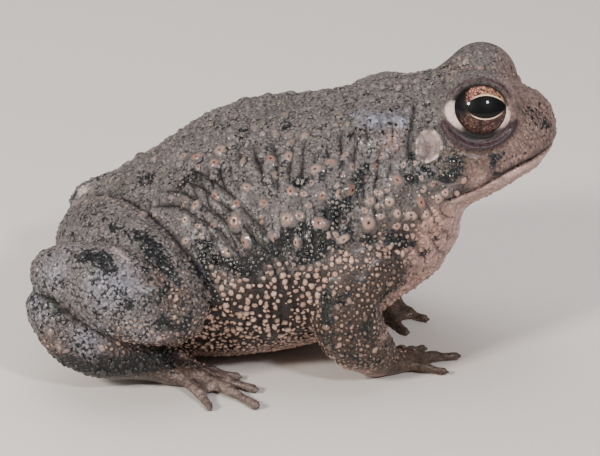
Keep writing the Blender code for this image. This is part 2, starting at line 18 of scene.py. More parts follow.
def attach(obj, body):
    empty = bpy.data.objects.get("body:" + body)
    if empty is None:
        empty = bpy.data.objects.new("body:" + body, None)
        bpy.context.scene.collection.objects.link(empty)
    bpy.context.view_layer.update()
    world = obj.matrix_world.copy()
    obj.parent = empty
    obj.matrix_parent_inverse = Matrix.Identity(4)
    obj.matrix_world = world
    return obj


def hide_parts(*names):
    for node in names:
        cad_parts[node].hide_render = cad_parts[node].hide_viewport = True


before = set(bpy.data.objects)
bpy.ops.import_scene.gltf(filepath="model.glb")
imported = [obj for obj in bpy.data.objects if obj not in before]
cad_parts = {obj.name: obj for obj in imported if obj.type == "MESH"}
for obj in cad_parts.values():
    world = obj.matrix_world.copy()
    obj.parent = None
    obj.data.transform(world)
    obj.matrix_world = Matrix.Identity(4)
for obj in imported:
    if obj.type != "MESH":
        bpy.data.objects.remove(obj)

MM = 0.001
SIDES = {"right": -1.0, "left": 1.0}
UP = Vector((0.0, 0.0, 1.0))
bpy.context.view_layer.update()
print("solids:", len(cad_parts))

# %% [markdown]
# ## Camera
# The toad is seen from its right side, a little from above and from far enough for a long lens.
# The angle, distance and lens come from the floor and the animal's own sizes in the picture.
# The camera is aimed with a direction, not a constraint, so nothing has to be evaluated later.

# %% Camera
AZIMUTH = math.radians(4.0)
ELEVATION = math.radians(20.0)
DISTANCE = 0.450
TARGET = Vector((0.0, 0.0, 0.0188))
PIXELS_ACROSS = 600
FOCAL_PIXELS = 2790
SENSOR = 36.0



def put(name, data):
    """Adds an object to the scene."""
    made = bpy.data.objects.new(name, data)
    bpy.context.scene.collection.objects.link(made)
    return made


def aim(thing, back):
    """Turns a camera or lamp so that it looks against this direction."""
    thing.rotation_mode = "QUATERNION"
    thing.rotation_quaternion = back.to_track_quat("Z", "Y")


camera_data = bpy.data.cameras.new("long_lens")
camera_data.sensor_width = SENSOR
camera_data.lens = FOCAL_PIXELS * SENSOR / PIXELS_ACROSS
camera_data.clip_start = 0.01
camera = put("camera", camera_data)
level = math.cos(ELEVATION)
towards_camera = Vector((math.sin(AZIMUTH) * level, -math.cos(AZIMUTH) * level, math.sin(ELEVATION)))
camera.location = TARGET + towards_camera * DISTANCE
aim(camera, towards_camera)
bpy.context.scene.camera = camera
print("lens:", round(camera_data.lens, 1), "mm")

# %% [markdown]
# ## Colours and nodes
# Colours are written as sRGB codes, as a painter would note them, and one function turns them
# into the linear values that shaders use. A few more add the nodes that come up again and again,
# with their settings, constants and links, so that each material reads as a list of its steps.


# %% Colours and nodes
def linear(code):
    """An sRGB colour code, such as #8c716a, as linear RGBA."""
    parts = [int(code[k : k + 2], 16) / 255 for k in (1, 3, 5)]
    return tuple(c / 12.92 if c <= 0.04045 else ((c + 0.055) / 1.055) ** 2.4 for c in parts) + (1.0,)


def feed(tree, node, inputs):
    """Gives inputs of a node their constants or links."""
    for place, value in inputs.items():
        if isinstance(value, bpy.types.NodeSocket):
            tree.links.new(value, node.inputs[place])
        else:
            node.inputs[place].default_value = value


def add(tree, kind, inputs=None, **settings):
    """Adds a node: its settings first, then each input as a constant or a link."""
    made = tree.nodes.new(kind)
    for name, value in settings.items():
        setattr(made, name, value)
    feed(tree, made, inputs or {})
    return made


def calc(tree, operation, *values):
    """A sum on up to three constants or links."""
    return add(tree, "ShaderNodeMath", dict(enumerate(values)), operation=operation).outputs[0]


def ramp(tree, value, low, high, start=0.0, end=1.0, kind="LINEAR"):
    """A value from low to high, mapped onto start to end."""
    inputs = {0: value, 1: low, 2: high, 3: start, 4: end}
    return add(tree, "ShaderNodeMapRange", inputs, interpolation_type=kind).outputs[0]


def ease(tree, *values):
    """The same with soft ends."""
    return ramp(tree, *values, kind="SMOOTHSTEP")


def mix(tree, amount, first, second):
    """Two colours blended, each given as a code, as linear values or as a link."""
    ends = [linear(colour) if isinstance(colour, str) else colour for colour in (first, second)]
    return add(tree, "ShaderNodeMix", {0: amount, 6: ends[0], 7: ends[1]}, data_type="RGBA").outputs[2]


def scaled(tree, colour, amount):
    """A colour made lighter or darker."""
    return add(tree, "ShaderNodeVectorMath", {0: colour, "Scale": amount}, operation="SCALE").outputs[0]


def vector(tree, *values):
    """Up to three values as one vector."""
    return add(tree, "ShaderNodeCombineXYZ", dict(enumerate(values))).outputs[0]


def noise_of(tree, place, size, detail, rough):
    """Noise with features of this size in millimetres."""
    inputs = {"Vector": place, "Scale": 1 / (size * MM), "Detail": detail, "Roughness": rough}
    return add(tree, "ShaderNodeTexNoise", inputs).outputs[0]


def value_of(tree, name):
    """A value that is kept on the mesh."""
    return add(tree, "ShaderNodeAttribute", attribute_name=name).outputs["Fac"]


def new_look(name):
    """A new material, its tree and its shader."""
    made = bpy.data.materials.new(name)
    made.use_nodes = True
    return made, made.node_tree, made.node_tree.nodes["Principled BSDF"]


# %% [markdown]
# ## Shapes from sections
# A body that changes smoothly along its length is easiest to give as a few measured sections.
# A Catmull-Rom curve runs through them, and rings of points are laid on it and closed into a
# skin. The same sections make the solids, so the render and the solids agree by construction.

# %% Sections of head and trunk
# Back x, back z, belly x, belly z, half width, height of the widest place, back and belly roundness
BODY_SECTIONS = (
    (-38.2, 18.8, -37.9, 13.4, 3.2, 0.50, 2.0, 2.0),
    (-36.9, 21.0, -36.5, 9.0, 8.4, 0.50, 2.0, 2.0),
    (-34.4, 23.7, -34.0, 4.6, 13.4, 0.46, 2.0, 2.0),
    (-30.0, 27.0, -29.5, 1.4, 18.4, 0.44, 2.0, 2.0),
    (-24.0, 30.7, -22.0, -0.3, 21.8, 0.43, 2.0, 2.1),
    (-16.0, 36.2, -13.0, -0.6, 23.8, 0.42, 2.0, 2.1),
    (-8.0, 39.4, -4.0, 0.4, 24.6, 0.43, 2.05, 2.1),
    (0.0, 40.2, 5.0, 2.4, 24.0, 0.44, 2.1, 2.0),
    (6.0, 41.5, 11.6, 5.2, 22.0, 0.44, 2.1, 1.9),
    (12.0, 43.4, 17.0, 8.9, 19.2, 0.44, 2.15, 1.8),
    (17.0, 44.3, 22.2, 12.9, 16.8, 0.43, 2.2, 1.75),
    (21.0, 44.8, 25.3, 18.1, 15.4, 0.41, 2.3, 1.5),
    (25.0, 44.9, 26.4, 22.9, 14.8, 0.37, 2.4, 1.35),
    (29.5, 44.7, 31.0, 26.4, 13.5, 0.31, 2.5, 1.45),
    (34.0, 43.7, 35.0, 28.9, 10.9, 0.28, 2.5, 1.5),
    (37.6, 41.9, 38.0, 31.0, 7.6, 0.28, 2.4, 1.7),
    (39.7, 39.6, 39.6, 33.2, 4.2, 0.34, 2.2, 2.0),
    (40.5, 37.6, 40.5, 35.6, 1.6, 0.50, 2.0, 2.0),
)
EYE_CENTRE = (28.5, 7.6, 42.2)
EYE_RADIUS = 5.2
LID_RADIUS = 6.0
EYE_GAZE = (0.02, 0.97, 0.19)
BROW_CENTRE = (27.2, 7.0, 39.9)
BROW_RADII = (7.4, 6.1, 6.7)
PAROTOID = ((13.2, 13.4, 39.8), (5.2, 3.4), 12.0)
EARDRUM = ((20.8, 14.4, 37.7), (1.95, 2.25), -15.0)
NOSTRIL = (38.2, 3.1, 41.1)
MOUTH_LINE = (
    (24.0, 29.5), (27.2, 30.3), (30.4, 32.0), (33.4, 33.4), (37.0, 34.4), (40.0, 35.0), (44.0, 35.4),
)

# %% Paths of the limbs
# Stations: x, distance out, z, half width, half height. The right leg is drawn up higher.
UPPER_ARM = (
    (18.5, 9.0, 20.5, 5.0, 5.2),
    (15.0, 15.0, 20.0, 5.0, 5.2),
    (10.8, 19.0, 18.2, 4.8, 5.2),
    (8.2, 20.8, 15.4, 4.6, 5.2),
)
FOREARM = (
    (8.0, 20.8, 14.2, 5.0, 5.2),
    (8.8, 20.2, 10.8, 5.3, 5.4),
    (10.4, 18.8, 7.4, 5.0, 5.0),
    (12.4, 16.8, 4.4, 4.0, 3.8),
)
THIGH = {
    "right": (
        (-30.5, 7.0, 17.4, 8.2, 8.4),
        (-27.0, 14.0, 18.2, 8.2, 8.8),
        (-22.5, 20.0, 17.4, 7.2, 8.2),
        (-18.5, 23.8, 15.4, 6.0, 7.0),
    ),
    "left": (
        (-30.5, 6.0, 15.5, 8.0, 7.8),
        (-27.0, 13.0, 15.4, 7.8, 7.8),
        (-22.5, 19.0, 14.8, 6.8, 7.2),
        (-18.0, 23.4, 13.6, 5.8, 6.4),
    ),
}
SHANK = {
    "right": (
        (-18.2, 24.6, 14.2, 5.4, 6.0),
        (-22.5, 26.4, 16.0, 5.8, 6.7),
        (-28.0, 26.2, 18.0, 5.8, 6.7),
        (-33.0, 24.4, 18.8, 5.0, 5.5),
        (-35.6, 23.0, 18.2, 4.4, 4.8),
    ),
    "left": (
        (-17.8, 24.6, 12.8, 5.4, 5.6),
        (-22.0, 26.0, 13.8, 5.8, 5.9),
        (-28.0, 25.8, 14.6, 5.5, 5.6),
        (-33.0, 24.0, 14.4, 4.8, 4.8),
        (-36.7, 22.8, 13.8, 4.2, 4.2),
    ),
}
TARSUS = {
    "right": (
        (-36.0, 23.4, 13.2, 4.4, 5.0),
        (-33.5, 24.4, 9.6, 4.6, 5.2),
        (-28.5, 24.2, 7.2, 4.5, 5.0),
        (-22.5, 21.6, 4.8, 3.8, 3.8),
    ),
    "left": (
        (-36.8, 23.2, 10.2, 4.2, 4.6),
        (-33.0, 23.8, 7.6, 4.4, 4.7),
        (-28.5, 23.6, 6.0, 4.3, 4.4),
        (-22.5, 21.4, 4.6, 3.7, 3.6),
    ),
}
FOOT_SOLE = ((-22.0, 20.5, 3.0, 3.4, 2.6), (-19.0, 20.2, 2.0, 3.9, 2.0), (-16.0, 20.4, 1.4, 3.4, 1.6))
PALM = ((12.4, 15.8, 2.6, 3.2, 2.6), (15.0, 13.6, 1.8, 3.5, 2.0), (17.0, 12.2, 1.3, 3.0, 1.5))
HAND_TURN = {"right": 0.0, "left": 42.0}
# Digits: root (x, out), heading outward from forward in degrees, length, radius at the root
TOES = (
    ((-18.4, 17.8), -16.0, 6.5, 1.05),
    ((-17.2, 18.8), 2.0, 9.5, 1.10),
    ((-16.2, 20.0), 20.0, 12.5, 1.15),
    ((-15.8, 21.4), 38.7, 15.6, 1.20),
    ((-17.0, 22.8), 58.0, 11.0, 1.10),
)
FINGERS = (
    ((14.6, 10.9), -98.0, 6.0, 1.15),
    ((17.0, 10.8), -58.0, 6.6, 1.15),
    ((18.4, 12.2), -28.0, 9.0, 1.15),
    ((17.6, 14.4), 4.0, 6.8, 1.10),
)
DIGIT_TIP_SHARE = 0.62
WEB_SHARE = 0.34
HEEL_KNOB = ((-20.2, 23.4, 3.2), (1.9, 0.95, 1.0))


# %% Curves, rings and closed forms
def smooth_rows(rows, count):
    """A Catmull-Rom curve through the rows, read at count places spread evenly over its spans."""
    rows = np.asarray(rows, float)
    padded = np.vstack([2 * rows[0] - rows[1], rows, 2 * rows[-1] - rows[-2]])
    place = np.linspace(0.0, len(rows) - 1.0, count)
    span = np.minimum(place.astype(int), len(rows) - 2)
    t = (place - span)[:, None]
    a, b, c, d = (padded[span + k] for k in range(4))
    curve = 2 * b + (c - a) * t + (2 * a - 5 * b + 4 * c - d) * t**2 + (3 * b - a - 3 * c + d) * t**3
    return 0.5 * curve


def loft(rings, first_tip, last_tip):
    """Points and faces of a closed form over rings of as many points each."""
    rings = np.asarray(rings)
    count = rings.shape[1]
    points = np.vstack([[first_tip], rings.reshape(-1, 3), [last_tip]])
    faces = []
    for k in range(count):
        after = (k + 1) % count
        faces.append((0, 1 + after, 1 + k))
        for ring in range(len(rings) - 1):
            here = 1 + ring * count
            faces.append((here + k, here + after, here + count + after, here + count + k))
        last = 1 + (len(rings) - 1) * count
        faces.append((last + k, last + after, len(points) - 1))
    return points, faces


def circle(segments):
    """Cosines and sines of angles spread evenly round a circle."""
    angle = 2 * math.pi * np.arange(segments) / segments
    return np.cos(angle), np.sin(angle)


def level_ring(segments, radius, height):
    """A ring of points round the upright line."""
    return np.stack([*(radius * part for part in circle(segments)), np.full(segments, height)], 1)


def body_ring(row, segments):
    """One cross-section of head or trunk: a superellipse whose upper and lower halves differ."""
    back = np.array((row[0], 0.0, row[1]))
    belly = np.array((row[2], 0.0, row[3]))
    half_width, widest, back_power, belly_power = row[4:8]
    rise, side = circle(segments)
    power = np.where(rise >= 0, back_power, belly_power)
    reach = np.where(rise >= 0, 1 - widest, widest)
    height = widest + np.sign(rise) * np.abs(rise) ** (2 / power) * reach
    out = np.sign(side) * np.abs(side) ** (2 / power) * half_width
    return belly + np.outer(height, back - belly) + np.outer(out, (0.0, 1.0, 0.0))


def tube(stations, side, segments=28, rings=24):
    """A limb or digit with oval sections square to its path and rounded ends."""
    rows = smooth_rows(stations, rings)
    centres = rows[:, :3] * np.array((1.0, side, 1.0))
    radii = rows[:, 3:5]
    along = np.gradient(centres, axis=0)
    along /= np.linalg.norm(along, axis=1)[:, None]
    sections = [(centres[k], along[k], radii[k]) for k in range(rings)]
    for lean in np.radians((18.0, 36.0, 54.0, 72.0)):
        for end, way in ((0, -1.0), (rings - 1, 1.0)):
            reach = way * radii[end].mean() * math.sin(lean)
            section = (centres[end] + along[end] * reach, along[end], radii[end] * math.cos(lean))
            sections.insert(0 if end == 0 else len(sections), section)
    level, upright = circle(segments)
    made = []
    for centre, direction, (half_width, half_height) in sections:
        across = np.cross(direction, (0.0, 0.0, 1.0))
        across /= np.linalg.norm(across)
        upward = np.cross(across, direction)
        made.append(
            centre + np.outer(level * half_width, across) + np.outer(upright * half_height, upward)
        )
    tips = [centres[end] + along[end] * way * radii[end].mean() for end, way in ((0, -1.0), (-1, 1.0))]
    return loft(made, *tips)


def frame_on(axis):
    """A rotation whose third column is axis and whose second column is as upright as it can be."""
    third = Vector(axis).normalized()
    first = UP.cross(third).normalized()
    return Matrix((first, third.cross(first), third)).transposed()


def ball(centre, radii, turn=None, segments=36, rings=24):
    """Points and faces of an ellipsoid, its poles on the third column of turn."""
    turn = np.array(turn if turn is not None else Matrix.Identity(3))
    made = []
    for lean in np.linspace(math.pi, 0, rings + 2)[1:-1]:
        ring = level_ring(segments, math.sin(lean), math.cos(lean))
        made.append(np.array(centre) + (ring * np.array(radii)) @ turn.T)
    tips = [
        np.array(centre) + (np.array((0, 0, way)) * np.array(radii)) @ turn.T for way in (-1.0, 1.0)
    ]
    return loft(made, *tips)


def outward(point, side):
    """A point given as (x, distance out from the middle, z), on one side of the toad."""
    return Vector((point[0], side * point[1], point[2]))


BODY_RINGS, RING_POINTS = 120, 120
body_rings = [body_ring(row, RING_POINTS) for row in smooth_rows(BODY_SECTIONS, BODY_RINGS)]
body_form = loft(
    body_rings,
    np.mean(body_rings[0], axis=0) + np.array((-0.5, 0.0, 0.0)),
    np.mean(body_rings[-1], axis=0) + np.array((0.1, 0.0, 0.0)),
)
print("trunk and head:", len(body_form[0]), "points")

# %% [markdown]
# ## Hands and feet
# A toad's digits are short, thick at each joint and blunt at the tip, and a low web joins the
# toes at their roots. Each digit is a tube that comes down to the floor in a shallow arch.


# %% Digits, webs and pads
def heading_way(degrees):
    """The level direction at this angle outwards from forward."""
    return np.array((math.cos(math.radians(degrees)), math.sin(math.radians(degrees))))


def digit(root, heading, length, radius, side, height):
    """A toe or finger that comes down to the floor, swollen at each joint."""
    way = heading_way(heading)
    stations = []
    for share in np.linspace(0.0, 1.0, 13):
        swelling = 1.0 + 0.10 * math.cos(share * 4 * math.pi)
        thick = radius * (1.0 - (1.0 - DIGIT_TIP_SHARE) * share) * swelling
        arch = height * (1 - share) ** 2 + thick * 0.86
        sideways = 0.05 * length * math.sin(share * math.pi)
        place = (
            np.array(root) + way * length * share * (1.0 - 0.08 * share)
            + sideways * np.array((way[1], -way[0]))
        )
        stations.append((place[0], place[1], arch, thick, thick))
    for beyond, slim in ((0.35, 0.92), (0.60, 0.72)):
        end = place + way * thick * beyond
        stations.append((end[0], end[1], thick * 0.80, thick * slim, thick * slim))
    return tube(stations, side, segments=16, rings=28)


def web(first, second, side):
    """The skin between two neighbouring digits near their roots, as a thin pad."""
    corners = []
    for root, heading, length, _ in (first, second):
        way = heading_way(heading)
        corners += [np.array(root) - way * 1.5, np.array(root) + way * length * WEB_SHARE]
    behind, front = (corners[0] + corners[2]) / 2, (corners[1] + corners[3]) / 2
    half_width = np.linalg.norm(corners[1] - corners[3]) / 2
    rows = [(behind[0], behind[1], 0.9, 0.8, 0.75), (front[0], front[1], 0.7, half_width, 0.5)]
    return tube(rows, side, segments=16, rings=6)


def extremity(pad, digits, side, height, knob=None):
    """A hand or foot: its pad, digits, webs and knob."""
    made = [tube(pad, side)] + [digit(*spec, side, height) for spec in digits]
    made += [web(digits[k], digits[k + 1], side) for k in range(len(digits) - 1)]
    if knob:
        made.append(ball(outward(knob[0], side), knob[1]))
    return made


def turned(forms, pivot, side, degrees):
    """Forms turned inwards about the upright line through a wrist."""
    turn = np.array(Matrix.Rotation(math.radians(-side * degrees), 3, "Z"))
    centre = np.array((pivot[0], side * pivot[1], 0.0))
    return [((points - centre) @ turn.T + centre, faces) for points, faces in forms]


limb_forms = []
for name, side in SIDES.items():
    limb_forms += [
        tube(path, side) for path in (THIGH[name], SHANK[name], TARSUS[name], UPPER_ARM, FOREARM)
    ]
    limb_forms += extremity(FOOT_SOLE, TOES, side, 1.2, HEEL_KNOB)
    limb_forms += turned(extremity(PALM, FINGERS, side, 1.0), PALM[0], side, HAND_TURN[name])
print("limb forms:", len(limb_forms))

# %% [markdown]
# ## One skin
# The overlapping forms become one surface with a voxel remesh, as a sculptor presses clay
# together. The remesh leaves small steps, so the points are relaxed a few times towards their
# neighbours, with a counter-step that keeps the form from shrinking. The folds where the limbs
# leave the trunk get more of it, because skin bridges a narrow cleft.

# %% Press the forms together
VOXEL = 0.60


def joined(forms):
    """The points and faces of several forms as one."""
    starts = np.cumsum([0] + [len(points) for points, _ in forms])
    faces = [
        tuple(i + start for i in face) for (_, faces), start in zip(forms, starts) for face in faces
    ]
    return np.vstack([points for points, _ in forms]), faces


def mesh_from(name, forms):
    """One object from several closed forms, in metres."""
    points, faces = joined(forms)
    mesh = bpy.data.meshes.new(name)
    mesh.from_pydata((points * MM).tolist(), [], faces)
    return put(name, mesh)


def settle(piece):
    """Replaces an object's mesh by what its modifiers make of it."""
    made = bpy.data.meshes.new_from_object(piece.evaluated_get(bpy.context.evaluated_depsgraph_get()))
    piece.modifiers.clear()
    piece.data = made
    return made


head_forms = []
for name, side in SIDES.items():
    gaze_turn = frame_on(outward(EYE_GAZE, side))
    head_forms.append(ball(outward(EYE_CENTRE, side), (LID_RADIUS,) * 3, gaze_turn))
    head_forms.append(ball(outward(BROW_CENTRE, side), BROW_RADII))
skin = mesh_from("toad_skin", [body_form] + head_forms + limb_forms)
remesh = skin.modifiers.new("one_skin", "REMESH")
remesh.mode = "VOXEL"
remesh.voxel_size = VOXEL * MM
pressed = settle(skin)
print("pressed skin:", len(pressed.vertices), "points,", len(pressed.polygons), "faces")


# %% Relax the steps
def read(parts, field, width=3, kind=float):
    """One field of many parts of a mesh, as rows."""
    flat = np.empty(len(parts) * width, kind)
    parts.foreach_get(field, flat)
    return flat.reshape(-1, width)


def points_of(mesh):
    """A mesh's points in millimetres."""
    return read(mesh.vertices, "co") / MM


def edges_of(mesh):
    """The two points of each edge of a mesh."""
    return read(mesh.edges, "vertices", 2, np.int64)


def keep(mesh, name, values):
    """Keeps a value, or a direction, for each point of a mesh."""
    values = np.asarray(values, np.float32)
    kind, field = (("FLOAT", "value"), ("FLOAT_VECTOR", "vector"))[values.ndim - 1]
    mesh.attributes.new(name, kind, "POINT").data.foreach_set(field, values.ravel())


def smooth(mesh):
    """Shades a mesh without facets."""
    for polygon in mesh.polygons:
        polygon.use_smooth = True


def pull(points, edges, share):
    """Moves each point by a share of the way to the middle of its neighbours."""
    total = np.zeros_like(points)
    count = np.zeros(len(points))
    for here, there in ((0, 1), (1, 0)):
        for axis in range(points.shape[1]):
            total[:, axis] += np.bincount(edges[:, here], points[edges[:, there], axis], len(points))
        count += np.bincount(edges[:, here], minlength=len(points))
    middle = total / np.maximum(count, 1)[:, None]
    return points + (middle - points) * np.reshape(share, (-1, 1) if np.ndim(share) else ())


def near(points, places, width=1.0):
    """How near each point is to any of the places (x, out, z, radius), from 0 to 1, on both sides."""
    found = np.zeros(len(points))
    folded = points * (1, 0, 1) + np.abs(points) * (0, 1, 0)
    for x, out, z, radius in places:
        gap = np.linalg.norm(folded - (x, out, z), axis=1)
        found = np.maximum(found, np.exp(-((gap / (radius * width)) ** 2)))
    return found


# Rounds of relaxing with their shares forth and back, rounds for the clefts, and a last share
RELAX_ROUNDS, RELAX_SHARES = 8, (0.55, -0.57)
SOFT_ROUNDS, LAST_SHARE = 30, 0.4
# x, distance out, z, radius of the places where skin bridges a cleft
SOFT_PLACES = (
    (15.0, 17.5, 24.5, 4.5), (10.0, 21.5, 22.5, 3.5), (19.5, 12.0, 18.5, 3.5), (8.0, 20.0, 14.5, 3.0),
    (12.6, 16.2, 4.4, 2.5), (-22.3, 21.0, 4.4, 2.5), (27.0, 11.0, 35.5, 4.0), (22.5, 8.5, 41.5, 3.5),
    (33.5, 6.5, 40.5, 3.5), (27.5, 1.5, 45.0, 3.0), (21.5, 11.5, 38.5, 3.5), (32.5, 9.0, 37.5, 3.5),
)
points, edges = points_of(skin.data), edges_of(skin.data)
for _ in range(RELAX_ROUNDS):
    points = pull(pull(points, edges, RELAX_SHARES[0]), edges, RELAX_SHARES[1])
soft = near(points, SOFT_PLACES)
for _ in range(SOFT_ROUNDS):
    points = pull(points, edges, 0.5 * soft)
points = pull(points, edges, LAST_SHARE)
skin.data.vertices.foreach_set("co", (points * MM).ravel())
print("relaxed; lowest point", round(points[:, 2].min(), 2), "mm")

# %% [markdown]
# ## Where things are on the toad
# Colours, folds and warts follow the body, so each point of the skin has to know where it is:
# how high up the trunk, how far out on a limb, and how far from an eye or the line of the mouth.
# These few functions answer that from the same sections and paths that made the shape.

# %% Places on the trunk, the mouth and the lids
MOUTH_X, MOUTH_Z = np.array(smooth_rows(MOUTH_LINE, 40)).T
TRUNK_ROWS = smooth_rows(BODY_SECTIONS, 200)
# How far the lids' edge is from the eye's centre, a share or gap that means far away, and the
# distance from an eye's centre within which skin belongs to it
LID_REACH = 5.5
FAR = 9.0
EYE_ZONE = 9.5
LID_OPENING = {"front": 4.30, "rear": 4.35, "top": 4.00, "bottom": 4.15}


def step(value, low, high):
    """A smooth step from 0 at low to 1 at high."""
    t = np.clip((value - low) / (high - low), 0.0, 1.0)
    return t * t * (3 - 2 * t)


def fall(value, low, high):
    """A smooth step from 1 at low to 0 at high."""
    return 1 - step(value, low, high)


def hill(value, width):
    """A bell of height 1 at zero."""
    return np.exp(-((value / width) ** 2))


def above_mouth(points):
    """Height over the line of the mouth, in millimetres."""
    return points[:, 2] - np.interp(points[:, 0], MOUTH_X, MOUTH_Z)


def trunk_span(x):
    """Heights of the belly's and the back's middle line."""
    back_x, back_z, belly_x, belly_z = TRUNK_ROWS.T[:4]
    return np.interp(x, belly_x, belly_z), np.interp(x, back_x, back_z)


def trunk_height(points):
    """Height up the trunk's side: 0 at the belly's middle line, 1 at the back's."""
    low, high = trunk_span(points[:, 0])
    return (points[:, 2] - low) / (high - low)


def eye_share(points, side):
    """Distance from an eye's centre, distance from the gaze in lid openings, and the way forward and up."""
    turn = np.array(frame_on(outward(EYE_GAZE, side)))
    local = (points - np.array(outward(EYE_CENTRE, side))) @ turn
    radius = np.linalg.norm(local, axis=1)
    across = local / np.clip(radius, 1e-6, LID_RADIUS)[:, None] * LID_REACH
    forward = across[:, 0] * -side
    half_wide = np.where(forward > 0, LID_OPENING["front"], LID_OPENING["rear"])
    half_high = np.where(across[:, 1] > 0, LID_OPENING["top"], LID_OPENING["bottom"])
    share = np.hypot(forward / half_wide, across[:, 1] / half_high)
    return radius, np.where(local[:, 2] > -1.0, share, FAR), forward, across[:, 1]


def on_oval(points, oval, side):
    """Distance from an oval's middle in its own half widths; it lies on the side of the head."""
    centre, radii, pitch = oval
    lean = math.radians(pitch)
    gap = points - np.array(outward(centre, side))
    along = gap[:, 0] * math.cos(lean) + gap[:, 2] * math.sin(lean)
    across = -gap[:, 0] * math.sin(lean) + gap[:, 2] * math.cos(lean)
    beside = np.sign(side) * points[:, 1] > 4.0
    return np.where(beside, np.hypot(along / radii[0], across / radii[1]), FAR)


def tree_over(forms):
    """A search tree over several forms."""
    there, faces = joined(forms)
    return BVHTree.FromPolygons(there.tolist(), faces)


def gap_to(search, points):
    """How far each point is from the forms of a search tree, in millimetres."""
    return np.array([search.find_nearest(point)[3] for point in points.tolist()])


def off_place(points, place, side):
    """How far each point is from a place on one side."""
    return np.linalg.norm(points - np.array(outward(place, side)), axis=1)


trunk_tree = tree_over([body_form] + head_forms)
# Distances from the trunk, in mm, over which skin turns from trunk to limb
LIMB_EDGE = (0.9, 2.2)


# %% [markdown]
# ## Finer mesh where the skin needs it
# Lids, lips, nostrils, eardrums and the creases of the shoulder are smaller than the skin's mesh
# can show. Only the faces there are divided, once or twice, which costs far less than a finer
# mesh all over.


# %% Divide the faces of the face and shoulder
# For the first and the second division: shares of the lids' opening, and distances
FINE_LIDS = ((0.0, 1.65), (0.86, 1.32))
FINE_NOSTRIL, FINE_EARDRUM, FINE_MOUTH = (2.2, 1.3), (1.7, 0.0), (1.7, 0.6)


def finer(points, level):
    """Which points lie where the mesh is divided at this level."""
    chosen = np.zeros(len(points), bool)
    for side in SIDES.values():
        radius, share, _, _ = eye_share(points, side)
        inner, outer = FINE_LIDS[level]
        chosen |= (radius < EYE_ZONE) & (share > inner) & (share < outer)
        chosen |= off_place(points, NOSTRIL, side) < FINE_NOSTRIL[level]
        chosen |= on_oval(points, EARDRUM, side) < FINE_EARDRUM[level]
    chosen |= (points[:, 0] > 22.5) & (np.abs(above_mouth(points)) < FINE_MOUTH[level])
    if level == 0:
        height = trunk_height(points)
        chosen |= (points[:, 0] > -13) & (points[:, 0] < 20.5) & (height > 0.56) & (height < 0.94)
    return chosen


for level in range(2):
    work = bmesh.new()
    work.from_mesh(skin.data)
    work.verts.ensure_lookup_table()
    chosen = finer(points_of(skin.data), level)
    cut = [edge for edge in work.edges if chosen[edge.verts[0].index] and chosen[edge.verts[1].index]]
    bmesh.ops.subdivide_edges(work, edges=cut, cuts=1, use_grid_fill=True)
    work.to_mesh(skin.data)
    work.free()
work = bmesh.new()
work.from_mesh(skin.data)
bmesh.ops.triangulate(work, faces=[face for face in work.faces if len(face.verts) > 4])
work.to_mesh(skin.data)
work.free()
points, edges = points_of(skin.data), edges_of(skin.data)
fine = finer(points, 0).astype(float)
for _ in range(3):
    points = pull(points, edges, 0.5 * fine)
triangles = sum(len(p.vertices) - 2 for p in skin.data.polygons)
print("skin divided:", len(points), "points,", triangles, "triangles")

# %% [markdown]
# ## Seeded noise
# Living skin is never even. One small function gives smooth noise in space from a fixed seed,
# so that lumps, markings and warts come out the same in every run.


# %% Noise in space
# Large numbers that scatter the draws of neighbouring cells
HASH_PRIMES = np.array((73856093, 19349663, 83492791))
HASH_STIR = 1274126177


def grain(points, size, seed, octaves=3):
    """Smooth noise from -1 to 1 at points in millimetres, with features of about size."""
    total, weight = np.zeros(len(points)), 0.0
    for octave in range(octaves):
        scaled = points / size * 2.0**octave + 17.3 * seed
        cell = np.floor(scaled).astype(np.int64)
        part = scaled - cell
        ease = part * part * (3 - 2 * part)
        value = np.zeros(len(points))
        for corner in itertools.product((0, 1), repeat=3):
            spot = cell + corner
            key = np.bitwise_xor.reduce(spot * HASH_PRIMES, axis=1) ^ (seed * 977 + octave)
            key = ((key ^ (key >> 13)) * HASH_STIR) & 0xFFFFFFFF
            drawn = ((key ^ (key >> 16)) & 0xFFFFFF) / 0xFFFFFF * 2 - 1
            value += drawn * np.prod(np.where(corner, ease, 1 - ease), axis=1)
        total += value * 0.5**octave
        weight += 0.5**octave
    return total / weight


# %% [markdown]
# ## Lids, lips, nostrils and eardrums
# The lids are a thick rolled edge round the eye, with a fold outside it and a pouch below. They
# are shaped by moving the skin along the line from the eye's centre, so the opening is exactly
# as far from the eyeball as it should be. Mouth, nostrils and eardrums are pressed in or raised
# along the skin's own direction.


# %% Shape the face
def normals_of(points):
    """The skin's outward directions for these points."""
    skin.data.vertices.foreach_set("co", (points * MM).ravel())
    skin.data.update()
    return read(skin.data.vertex_normals, "vector")


# Shares of the lids' opening, and how far from the eye's centre the skin lies there, in mm
LID_PROFILE = (
    (0.00, 0.90, 0.96, 1.01, 1.06, 1.12, 1.20, 9.0), (4.20, 4.20, 4.80, 5.42, 5.80, 5.90, 5.98, 6.0),
)
# Shares of the opening, and how firmly the skin is held to that profile
LID_HOLD = ((0.0, 1.10, 1.20, 1.34, 9.0), (1.0, 1.00, 0.50, 0.0, 0.0))

for side in SIDES.values():
    centre = np.array(outward(EYE_CENTRE, side))
    radius, share, _, _ = eye_share(points, side)
    hold = np.interp(share, *LID_HOLD) * fall(radius, 7.6, 9.0)
    target = np.interp(share, *LID_PROFILE)
    moved = centre + (points - centre) * (target / np.maximum(radius, 1e-6))[:, None]
    points = points + (moved - points) * hold[:, None]
    ring = step(share, 1.08, 1.22) * fall(share, 1.9, 2.3) * fall(radius, 9.0, 11.0)
    for _ in range(16):
        points = pull(points, edges, 0.5 * ring)

